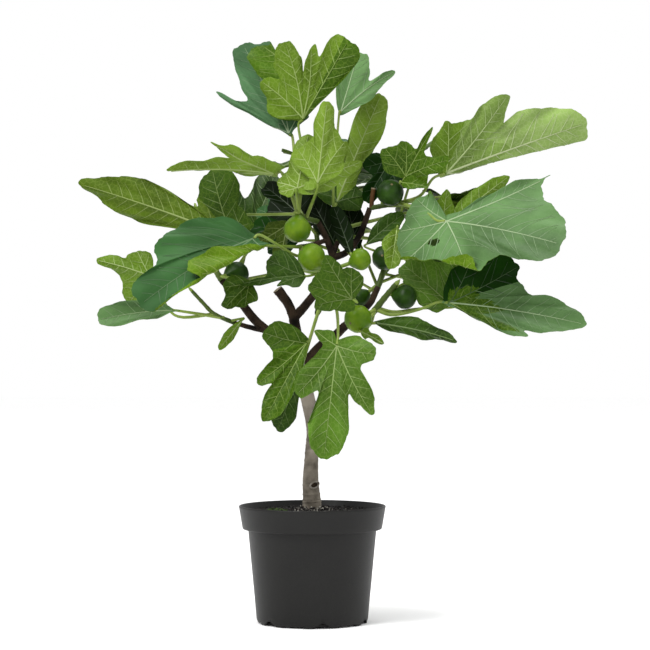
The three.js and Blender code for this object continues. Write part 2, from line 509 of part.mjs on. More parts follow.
class Leaf {
  constructor(row, number) {
    this.row = row;
    this.number = number;
    this.foot = vector(row.foot);
    this.along = vector(row.tip).sub(this.foot);
    const chord = this.along.length();
    this.along.normalize();
    this.up = vector(row.face);
    this.up.addScaledVector(this.along, -this.up.dot(this.along)).normalize();
    this.across = new THREE.Vector3().crossVectors(this.up, this.along);
    this.arch = radians(row.bend ?? 25);
    this.fold = radians(row.fold ?? 12);
    this.length = (chord * this.arch) / 2 / Math.sin(this.arch / 2);
    this.rim = outline(row, this.length);
    this.half = Math.max(BLADE.least, BLADE.thickness * this.length);
  }

  // Point of the blade at u along the rib and v across it, lifted off the middle surface.
  place(u, v, lift = 0) {
    const { arch, length, row } = this;
    const turn = arch / 2 - arch * u;
    const x = (length / arch) * (Math.sin(arch / 2) - Math.sin(turn));
    const z = (length / arch) * (Math.cos(turn) - Math.cos(arch / 2));
    const [side, start, roll, widen = 0] = row.curl ?? [0, 0, 0];
    const stations = 24;
    const part = Math.abs(v) / stations;
    let y = 0;
    let height = 0;
    for (let k = 0; k < stations; k++) {
      let slope = this.fold;
      if (side !== 0 && Math.sign(v) === side) {
        const share = THREE.MathUtils.clamp((part * (k + 0.5) - start - widen * u) / 0.1, 0, 1);
        slope += radians(roll) * share * share * (3 - 2 * share);
      }
      y += Math.cos(slope) * part;
      height += Math.sin(slope) * part;
    }
    const angle = Math.atan2(v, u);
    const wave = Math.sin(5 * angle + this.number) + 0.6 * Math.sin(9 * angle + 2 * this.number);
    height = height * length + lift + length * BLADE.ripple * (u * u + v * v) * wave;
    return this.foot.clone()
      .addScaledVector(this.along, x - Math.sin(turn) * height)
      .addScaledVector(this.across, y * Math.sign(v) * length)
      .addScaledVector(this.up, z + Math.cos(turn) * height);
  }

  // Blade of the solid's rim: a side that rolls over ends at the roll.
  rollEdge([u, v]) {
    const [side, start, , widen = 0] = this.row.curl ?? [0, 0];
    const most = start + 0.05;
    if (side === 0 || v * side <= most + widen * u) return [u, v];
    const share = most / (Math.abs(v) - widen * u);
    return [u * share, v * share];
  }

  blade(grow = 0) {
    const { length, half } = this;
    const inner = BLADE.midThickness * half + grow;
    const rings = [[0, half + grow], [BLADE.midRing, inner], [1, grow], [1, -grow], [BLADE.midRing, -inner],
      [0, -half - grow]];
    if (grow === 0) rings.splice(3, 1);
    const whole = length >= DETAIL.ringedLeaf;
    const solidRings = rings.filter(([share]) => whole || share !== BLADE.midRing);
    const plain = this.rim.map((p) => this.rollEdge(p));
    const rim = plain.map(([u, v], k) => {
      const before = plain[(k + plain.length - 1) % plain.length];
      const after = plain[(k + 1) % plain.length];
      const run = Math.hypot(after[0] - before[0], after[1] - before[1]) || 1;
      const out = grow / length / run;
      return [u + (after[1] - before[1]) * out, v - (after[0] - before[0]) * out];
    });
    const geometry = new THREE.SphereGeometry(1, rim.length, solidRings.length - 1);
    geometry.setIndex(bladeFaces(solidRings.length, rim.length));
    const position = geometry.getAttribute("position");
    for (let i = 0; i < position.count; i++) {
      const [share, lift] = solidRings[Math.floor(i / (rim.length + 1))];
      const [u, v] = rim[(i % (rim.length + 1)) % rim.length];
      const point = this.place(u * share, v * share, lift);
      position.setXYZ(i, point.x, point.y, point.z);
    }
    return toSolid(geometry);
  }

  stalkPath() {
    return [...this.row.stalk, this.place(STALK.meet, 0).toArray(), this.place(STALK.sink, 0).toArray()];
  }

  stalk(grow = 0) {
    const slim = Math.min(1, 0.55 + this.length / 300);
    const radii = [STALK.root * slim, STALK.tip * slim];
    const steps = STALK.steps + (this.row.stalk.length > 1 ? 2 : 0);
    return limb({ path: this.stalkPath(), radii, sides: STALK.sides, steps }, grow);
  }

  // Points that stand for the blade where room is measured.
  marks() {
    const halfway = this.rim.map(([u, v]) => [u / 2, v / 2]);
    const spots = [...halfway, ...this.rim].map((p) => this.rollEdge(p));
    return [[0, 0], ...spots].map(([u, v]) => this.place(u, v));
  }

  stalkMarks() {
    const curve = smoothCurve(this.stalkPath());
    return [0.25, 0.5, 0.75].map((t) => curve.getPoint(t));
  }

  // Outline as seen from the front.
  shadow() {
    return this.rim.map((p) => seen(this.place(...this.rollEdge(p))));
  }
}

// ---------------------------------------------------------------- figs

// Pear-shaped fig that hangs from its root on a short stalk.
function fig({ at, size, root }, grow = 0) {
  const s = size + grow;
  const profile = [[0, -1], [0.5, -0.88], [0.92, -0.42], [1, 0.02], [0.8, 0.5], [0.42, 0.92], [0, 1.18]]
    .map(([x, y]) => new THREE.Vector2(x * s, y * s));
  const geometry = new THREE.LatheGeometry(profile, FIG.sides);
  const ahead = vector(root).sub(vector(at)).normalize();
  geometry.applyQuaternion(new THREE.Quaternion().setFromUnitVectors(new THREE.Vector3(0, 1, 0), ahead));
  geometry.translate(...at);
  const stalk = limb({ path: [root, at], radii: [FIG.stalk, FIG.stalk], sides: 5, steps: 1 }, grow);
  return toSolid(geometry).add(stalk);
}

// ---------------------------------------------------------------- leaves of the seeded rule

const seen = (p) => {
  const far = (EYE.distance + p.y) / EYE.distance;
  return [(p.x - EYE.x) / far, (p.z - EYE.z) / far];
};

function insidePolygon([x, y], polygon) {
  let inside = false;
  for (let i = 0, j = polygon.length - 1; i < polygon.length; j = i++) {
    const [ax, ay] = polygon[i];
    const [bx, by] = polygon[j];
    if (ay > y !== by > y && x < ((bx - ax) * (y - ay)) / (by - ay) + ax) inside = !inside;
  }
  return inside;
}

// Unit direction: azimuth 0 is the back and 90 the left, rise is above the horizon.
function heading(azimuth, rise) {
  const a = radians(azimuth);
  const r = radians(rise);
  return new THREE.Vector3(-Math.sin(a) * Math.cos(r), Math.cos(a) * Math.cos(r), Math.sin(r));
}

function insideCrown(point) {
  const [x, y, z] = point.toArray().map((value, k) => (value - CROWN.centre[k]) / CROWN.reach[k]);
  return x * x + y * y + z * z < 1;
}

// Adds leaves round the stem of a mass where there is room behind the leaves of the front.
function addSpiral(mass, taken, shadows, numbers, firstNumber) {
  const curve = smoothCurve(mass.stem);
  const { count, heading: middle, spread } = mass.spiral;
  const added = [];
  for (let k = 0; k < count; k++) {
    const root = curve.getPoint(0.3 + (0.65 * (k + 1)) / count);
    const turn = ((k * SPIRAL.turn + 90) % 360) / 180 - 1;
    for (let attempt = 0; attempt < SPIRAL.tries; attempt++) {
      const share = attempt / SPIRAL.tries;
      const azimuth = middle + spread * turn + SPIRAL.swing * (1 + 2 * share) * (2 * numbers() - 1);
      const rise = between(SPIRAL.rise, numbers());
      const droop = between(SPIRAL.droop, numbers());
      const stalk = between(SPIRAL.stalk, numbers());
      const blade = between(SPIRAL.blade, share) * (0.9 + 0.2 * numbers());
      const shape = SPIRAL_SHAPES[Math.floor(numbers() * SPIRAL_SHAPES.length)];
      const foot = root.clone().addScaledVector(heading(azimuth, rise), stalk);
      const turned = azimuth + 25 * (2 * numbers() - 1);
      const tip = foot.clone().addScaledVector(heading(turned, rise - droop), blade);
      const face = heading(azimuth, 55);
      const row = { ...shape, stalk: [root.toArray()], foot: foot.toArray(), tip: tip.toArray(),
        face: face.toArray() };
      const leaf = new Leaf(row, firstNumber + added.length);
      const marks = leaf.marks();
      const rimSeen = leaf.shadow();
      const isHidden = (p) => shadows.some((polygon) => insidePolygon(p, polygon));
      const covered = rimSeen.filter(isHidden).length;
      const clear = (p, own) => taken.every(([q, room]) => p.distanceTo(q) > own + room);
      const open = (p) => taken.every(([q, room]) => q.distanceTo(root) < SPIRAL.nearStem
        || p.distanceTo(q) > ROOM.stalk + room);
      const fits = marks.every((p) => insideCrown(p) && p.y > SPIRAL.behind)
        && covered >= SPIRAL.hidden * rimSeen.length
        && leaf.stalkMarks().slice(1).every((p) => isHidden(seen(p)))
        && marks.every((p) => clear(p, ROOM.blade))
        && leaf.stalkMarks().every(open);
      if (fits) {
        added.push(leaf);
        marks.forEach((p) => taken.push([p, ROOM.blade]));
        leaf.stalkMarks().forEach((p) => taken.push([p, ROOM.stalk]));
        break;
      }
    }
  }
  return added;
}

// ---------------------------------------------------------------- pot and soil

const lathe = (profile) => toSolid(new THREE.LatheGeometry(profile.map(([r, z]) => new THREE.Vector2(r, z)),
  POT.segments).rotateX(Math.PI / 2));

function innerWall(inset) {
  const step = POT.height - POT.collarHeight;
  const slant = (POT.bodyRadius - POT.baseRadius) / step;
  const { floorTop, wall } = POT;
  return [
    [POT.baseRadius + slant * floorTop - wall - inset, floorTop + inset],
    [POT.bodyRadius - wall - inset, step - 2],
    [POT.collarRadius - wall - 1 - inset, step + 2 + inset],
  ];
}

function makePot() {
  const step = POT.height - POT.collarHeight;
  const outside = [[0, 0], [POT.discRadius, 0], [POT.discRadius + 2, POT.lift], [POT.baseRadius, POT.lift],
    [POT.bodyRadius, step], [POT.collarRadius, step], [POT.rimRadius, POT.height]];
  const inside = [...innerWall(0), [POT.rimRadius - POT.lip, POT.height]].reverse();
  let pot = lathe([...outside, ...inside, [0, POT.floorTop]]);
  for (let k = 0; k < NOTCH.count; k++) {
    const angle = NOTCH.firstAngle + (360 / NOTCH.count) * k;
    for (const side of [-1, 1]) {
      const turn = radians(angle + side * FOOT.offset - 90);
      const foot = new THREE.BoxGeometry(FOOT.depth, FOOT.width, POT.lift + 1);
      foot.translate(POT.baseRadius - FOOT.depth / 2 - 0.8, 0, (POT.lift + 1) / 2);
      foot.rotateZ(turn);
      pot = pot.add(toSolid(foot));
    }
    const notch = new THREE.CylinderGeometry(1, 1, NOTCH.depth, 14);
    notch.scale(NOTCH.height, 1, NOTCH.halfWidth);
    notch.rotateZ(Math.PI / 2);
    notch.translate(POT.baseRadius, 0, 0);
    notch.rotateZ(radians(angle - 90));
    pot = pot.subtract(toSolid(notch));
  }
  return oneBody(pot);
}

function makeSoil() {
  const wall = innerWall(GAP);
  const step = POT.height - POT.collarHeight;
  const [collarInner] = wall[2];
  const lipInner = POT.rimRadius - POT.lip - GAP;
  const share = (SOIL.edge - step - 2 - GAP) / (POT.collarHeight - 2 - GAP);
  const edgeRadius = between([collarInner, lipInner], share);
  return lathe([[0, POT.floorTop + GAP], ...wall, [edgeRadius, SOIL.edge], [SOIL.shoulder, SOIL.edge + 1.4],
    [SOIL.flatRadius, SOIL.top], [0, SOIL.top]]);
}

// ---------------------------------------------------------------- the tree

const group = new THREE.Group();
group.name = "potted_fig_tree";
group.add(toMesh(makePot(), "pot", 0x2b2a29, 0.55));
group.add(toMesh(makeSoil(), "soil", 0x241c17, 0.95));

// Limbs: each starts inside the one it grows from and is cut clear of those made before it.
let limbSpace = null;
const taken = [];
for (const row of LIMBS) {
  const whole = limb(row).trimByPlane([0, 0, 1], SOIL.top + GAP);
  const solid = limbSpace ? oneBody(whole.subtract(limbSpace)) : whole;
  const grown = limb(row, GAP);
  limbSpace = limbSpace ? limbSpace.add(grown) : grown;
  group.add(toMesh(solid, row.name, row.name === "trunk" ? 0x7d7469 : 0x4a3c33, 0.85));
  const curve = smoothCurve(row.path);
  for (let k = 0; k <= 8; k++) taken.push([curve.getPoint(k / 8), ROOM.limb]);
}

// Leaves of the front first, then those of the seeded rule where there is room.
let number = 0;
for (const mass of MASSES) {
  mass.grown = mass.leaves.map((row) => new Leaf(row, number++));
  for (const leaf of mass.grown) {
    leaf.marks().forEach((p) => taken.push([p, ROOM.blade]));
    leaf.stalkMarks().forEach((p) => taken.push([p, ROOM.stalk]));
  }
  for (const { at, size } of mass.figs ?? []) taken.push([vector(at), size]);
}
const shadows = MASSES.flatMap((mass) => mass.grown.map((leaf) => leaf.shadow()));
const numbers = seededNumbers(20231);
for (const mass of MASSES) {
  if (!mass.spiral) continue;
  const added = addSpiral(mass, taken, shadows, numbers, number);
  number += added.length;
  mass.grown.push(...added);
}

// Twigs of a mass: its stem, stalks and figs, all fused.
function twigs(mass, grow = 0) {
  const stems = [limb({ path: mass.stem, radii: mass.radii, steps: 4 }, grow)];
  if (mass.stub) stems.push(limb({ ...mass.stub, steps: 3 }, grow));
  const stalks = mass.grown.map((leaf) => leaf.stalk(grow));
  const figs = (mass.figs ?? []).map((row) => fig(row, grow));
  return Manifold.union([...stems, ...stalks, ...figs]);
}

const twigSpaces = MASSES.map((mass) => twigs(mass, GAP));
let bladeSpace = null;
MASSES.forEach((mass, k) => {
  const blades = mass.grown.map((leaf) => leaf.blade());
  const others = twigSpaces.filter((space, j) => j !== k);
  let solid = Manifold.union([twigs(mass), ...blades]).subtract(Manifold.union([limbSpace, ...others]));
  if (bladeSpace) solid = solid.subtract(bladeSpace);
  const grownBlades = Manifold.union(mass.grown.map((leaf) => leaf.blade(GAP)));
  bladeSpace = bladeSpace ? bladeSpace.add(grownBlades) : grownBlades;
  group.add(toMesh(oneBody(solid.simplify(BLADE.simplest)), mass.name, 0x4f7d35, 0.6));
});

export default group;
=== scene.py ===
"""Looks of the potted fig tree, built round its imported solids.

Lengths of the plant are millimetres, as in its source, and become metres where a mesh is made.
"""

from itertools import cycle, product
from math import cos, hypot, pi, radians, sin
from types import SimpleNamespace as Sizes

import bpy
import numpy as np
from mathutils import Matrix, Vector


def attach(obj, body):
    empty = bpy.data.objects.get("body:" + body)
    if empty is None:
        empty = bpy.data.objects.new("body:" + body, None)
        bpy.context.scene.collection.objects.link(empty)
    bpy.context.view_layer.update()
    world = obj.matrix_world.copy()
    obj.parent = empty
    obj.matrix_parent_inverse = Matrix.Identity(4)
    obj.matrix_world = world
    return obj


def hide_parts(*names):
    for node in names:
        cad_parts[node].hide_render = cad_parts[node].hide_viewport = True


MM = 0.001
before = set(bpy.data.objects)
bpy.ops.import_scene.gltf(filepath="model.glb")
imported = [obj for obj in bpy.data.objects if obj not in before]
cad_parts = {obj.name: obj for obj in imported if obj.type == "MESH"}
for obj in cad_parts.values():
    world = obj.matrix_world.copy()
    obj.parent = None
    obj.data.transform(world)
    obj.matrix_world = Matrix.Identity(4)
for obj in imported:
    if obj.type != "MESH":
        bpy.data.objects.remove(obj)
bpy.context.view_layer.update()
rng = np.random.default_rng(11)

# ---------------------------------------------------------------- driving dimensions

# rim, collar, body, base and disc are radii.
POT = Sizes(height=151, rim=95, lip=3, collar_height=30, collar=90, body=83, base=71.5, disc=52,
            wall=1.8, lift=2.2, floor=4.6, segments=144)
NOTCH = Sizes(count=6, first_angle=11, half_width=9, height=6.5, depth=10, sides=28)
FOOT = Sizes(offset=13.5, width=13, depth=3.2, inset=0.8, edge=0.9, points=13)
SOIL = Sizes(top=145.5, edge=142.5, bulge=1.4, shoulder=60, flat=19, rings=60, segments=150, grain=0.25)

# The blade's rule. bend and fold are degrees for a leaf that names none. A lobe shorter than
# small_lobe or tiny_lobe has fewer points at its nose.
BLADE = Sizes(bend=25, fold=12, ripple=0.02, waves=((1, 5), (0.6, 9)), small_lobe=95, tiny_lobe=45,
              ray_gap=1.5, sheet=0.5)
LOBE = Sizes(blunt=0.55, fat=0.72, fat_width=0.92, waist=0.62, heel_angle=38, heel_reach=0.55)
ROLL = Sizes(soft=0.1, stations=24)
STALK = Sizes(root=2.6, tip=1.9, meet=-0.1, sink=-0.015, slimmest=0.55, slim_length=300)
BUD = Sizes(sunk=1, shoulder=3, length=8, foot_radius=0.95, shoulder_radius=0.85, tip_radius=0.4)

# The seeded rule: ranges of stalk, blade, rise and droop, and how hidden and far back a leaf is.
SPIRAL = Sizes(turn=137.5, tries=500, first=0.3, run=0.65, stalk=(30, 120), blade=(150, 60),
               rise=(-15, 65), droop=(20, 75), swing=80, sway=25, face=55, hidden=0.86, behind=12,
               near_stem=30, seed=20231)
CROWN = Sizes(centre=(15, 50, 480), reach=(330, 225, 235))
ROOM = Sizes(blade=6, stalk=2.5, limb=6)

# What scene.py adds to a blade. Teeth are (height, wave length) along the rim.
RIM = Sizes(step=2.6, steps=(2, 26), teeth=((0.45, 8.5), (0.4, 15), (1.2, 27)), toothless=0.3)
RUFFLE = Sizes(bulge=3.2, height=2.6, wave=52, valley=0.16, full_length=120)
QUILT = Sizes(height=0.5, width=9)
RINGS = Sizes(spacing=6.5, count=(8, 26))
# Waves round the leaf that jitter where each zone of painted light and shade starts and stops, as (height,
# how many in a turn).
ZONE_WAVES = ((0.04, 9), (0.02, 31))
VEIN = Sizes(shortest_lobe=22, points=22, reach=0.96, bow=0.03, width=1.3, width_gain=120, end_width=0.5,
             lifts=(1.3, -1.5), under_gain=1.1)
SIDE_VEIN = Sizes(spacing=15, reach=0.42, rim=0.95, angle=52, sway=6, bend=22, width=1.3, fewest_points=4,
                  rival=0.75, lifts=(0.95, -0.85))

# The knot of the trunk: its ring, then the dark middle, on a trunk of this radius about this axis.
KNOT = Sizes(x=3, z=178, ring=(5.6, 3.9, 0.95), middle=(2.6, 1.2, 1.2), slope=0.25, radius=11.3, axis=-2)

# The camera looks level along +Y from the front. EYE is the same place in the seeded rule.
EYE = Sizes(x=16, z=384, distance=2973)
CAMERA = Sizes(x=16.4, half_picture=420)

# ---------------------------------------------------------------- trunk and boughs

FORK = [-12, 0, 330]
LEFT_FORK = [-57, -20, 376]
CENTRE_FORK = [-24, 5, 393]
FRONT_FORK = [16, 5, 445]
UPPER_FORK = [27, 10, 471]
TOP_FORK = [19, 10, 494]
RIGHT_FORK = [48, -25, 387]

LIMBS = [
  dict(name="trunk", radii=[13.6, 11.4, 10.2, 8.6, 8.3, 9.1, 9, 8.8],
       path=[[0, 0, SOIL.top - 3], [-1, 0, 160], [-2, 0, 184], [-1, 0, 216], [1, 0, 248], [-4, 0, 281],
         [-11, 0, 313], [-13, 0, 338]]),
  dict(name="bough_centre", radii=[7.6, 7, 6.6], path=[FORK, [-19, 5, 365], CENTRE_FORK]),
  dict(name="bough_left", radii=[7, 6.4, 6, 5.6, 5.2, 4.8, 4.2],
       path=[FORK, [-33, -10, 358], LEFT_FORK, [-75, -25, 392], [-89, -30, 410], [-100, -35, 425],
         [-115, -40, 441]]),
  dict(name="bough_right", radii=[7, 6.4, 5.8, 5.2, 4.4],
       path=[FORK, [10, -10, 356], [31, -20, 372], RIGHT_FORK, [77, -30, 399]]),
  dict(name="bough_back_left", radii=[6, 5.4, 4.8, 4.2],
       path=[FORK, [-34, 25, 358], [-60, 60, 377], [-79, 85, 395], [-93, 105, 413]]),
  dict(name="bough_back_right", radii=[6, 5.4, 4.8, 4.2],
       path=[FORK, [11, 25, 356], [33, 55, 373], [51, 82, 389], [68, 104, 404]]),
  dict(name="bough_left_low", radii=[3.6, 3.2, 2.8], path=[LEFT_FORK, [-79, -35, 381], [-100, -44, 387]]),
  dict(name="bough_centre_stub", radii=[6.2, 6, 6.6], path=[CENTRE_FORK, [-31, 0, 411], [-45, -5, 430]]),
  dict(name="bough_centre_upper", radii=[6.2, 5.6, 5.3, 5, 4.7],
       path=[CENTRE_FORK, [-11, 5, 407], [1, 5, 422], FRONT_FORK, UPPER_FORK]),
  dict(name="bough_centre_front", radii=[3.6, 3.4, 3.2], path=[FRONT_FORK, [19, -10, 450], [20, -22, 452]]),
  dict(name="bough_back_upper", radii=[4, 3.7, 3.4], path=[FRONT_FORK, [12, 30, 462], [8, 52, 480]]),
  dict(name="bough_upper_right", radii=[4.5, 4.3, 4, 3.8, 3.5],
       path=[UPPER_FORK, [45, 20, 479], [58, 30, 495], [67, 35, 514], [75, 35, 537]]),
  dict(name="bough_top", radii=[4.5, 4.1, 3.7], path=[UPPER_FORK, TOP_FORK, [7, 10, 518]]),
  dict(name="bough_upper_middle", radii=[3.6, 3.4, 3.2], path=[UPPER_FORK, [29, 18, 482], [33, 24, 492]]),
  dict(name="bough_left_upper", radii=[3.2, 3, 2.9], path=[TOP_FORK, [10, 0, 491], [1, -9, 488]]),
  dict(name="bough_right_inner", radii=[4.6, 4.3, 4, 3.8],
       path=[RIGHT_FORK, [64, -10, 401], [76, 5, 414], [85, 11, 433]]),
]

# ---------------------------------------------------------------- blade outlines
# A lobe is [angle, reach, half width, radius of the sinus after it, bluntness, place of the
# widest part]. Angles are degrees from the middle rib. Lengths are parts of the rib's length.
# heelA and heelB are the two sides of the notch at the stalk, as [angle, radius].


def heel(a, b, edge=0.05):
    """Notch at the stalk, from the (angle, radius) where each side is widest."""
    return dict(heelA=[[-172, edge], [-a[0], a[1]]], heelB=[[*b], [172, edge]])


def plain(half, angle, radius, *nose):
    """Blade of one lobe."""
    return dict(lobes=[[0, 1, half, 0, *nose]], **heel((angle, radius), (angle, radius), edge=0.08))


SLIM = plain(0.15, 23, 0.35)
OVAL = plain(0.2, 27, 0.4)
ROUND = plain(0.24, 40, 0.45)
YOUNG = dict(lobes=[[-55, 0.3, 0.1, 0.3], [0, 1, 0.22, 0.3], [55, 0.3, 0.1, 0]])

SPIRAL_SHAPES = [
  dict(lobes=[[-98, 0.45, 0.14, 0.3], [-48, 0.76, 0.15, 0.44], [0, 1, 0.18, 0.44], [48, 0.76, 0.15, 0]]),
  dict(lobes=[[-58, 0.7, 0.17, 0.42], [0, 1, 0.2, 0.42], [58, 0.7, 0.17, 0]]),
  dict(lobes=[[-40, 0.72, 0.16, 0.5], [0, 1, 0.2, 0.46], [46, 0.78, 0.17, 0.3], [96, 0.42, 0.13, 0]]),
]
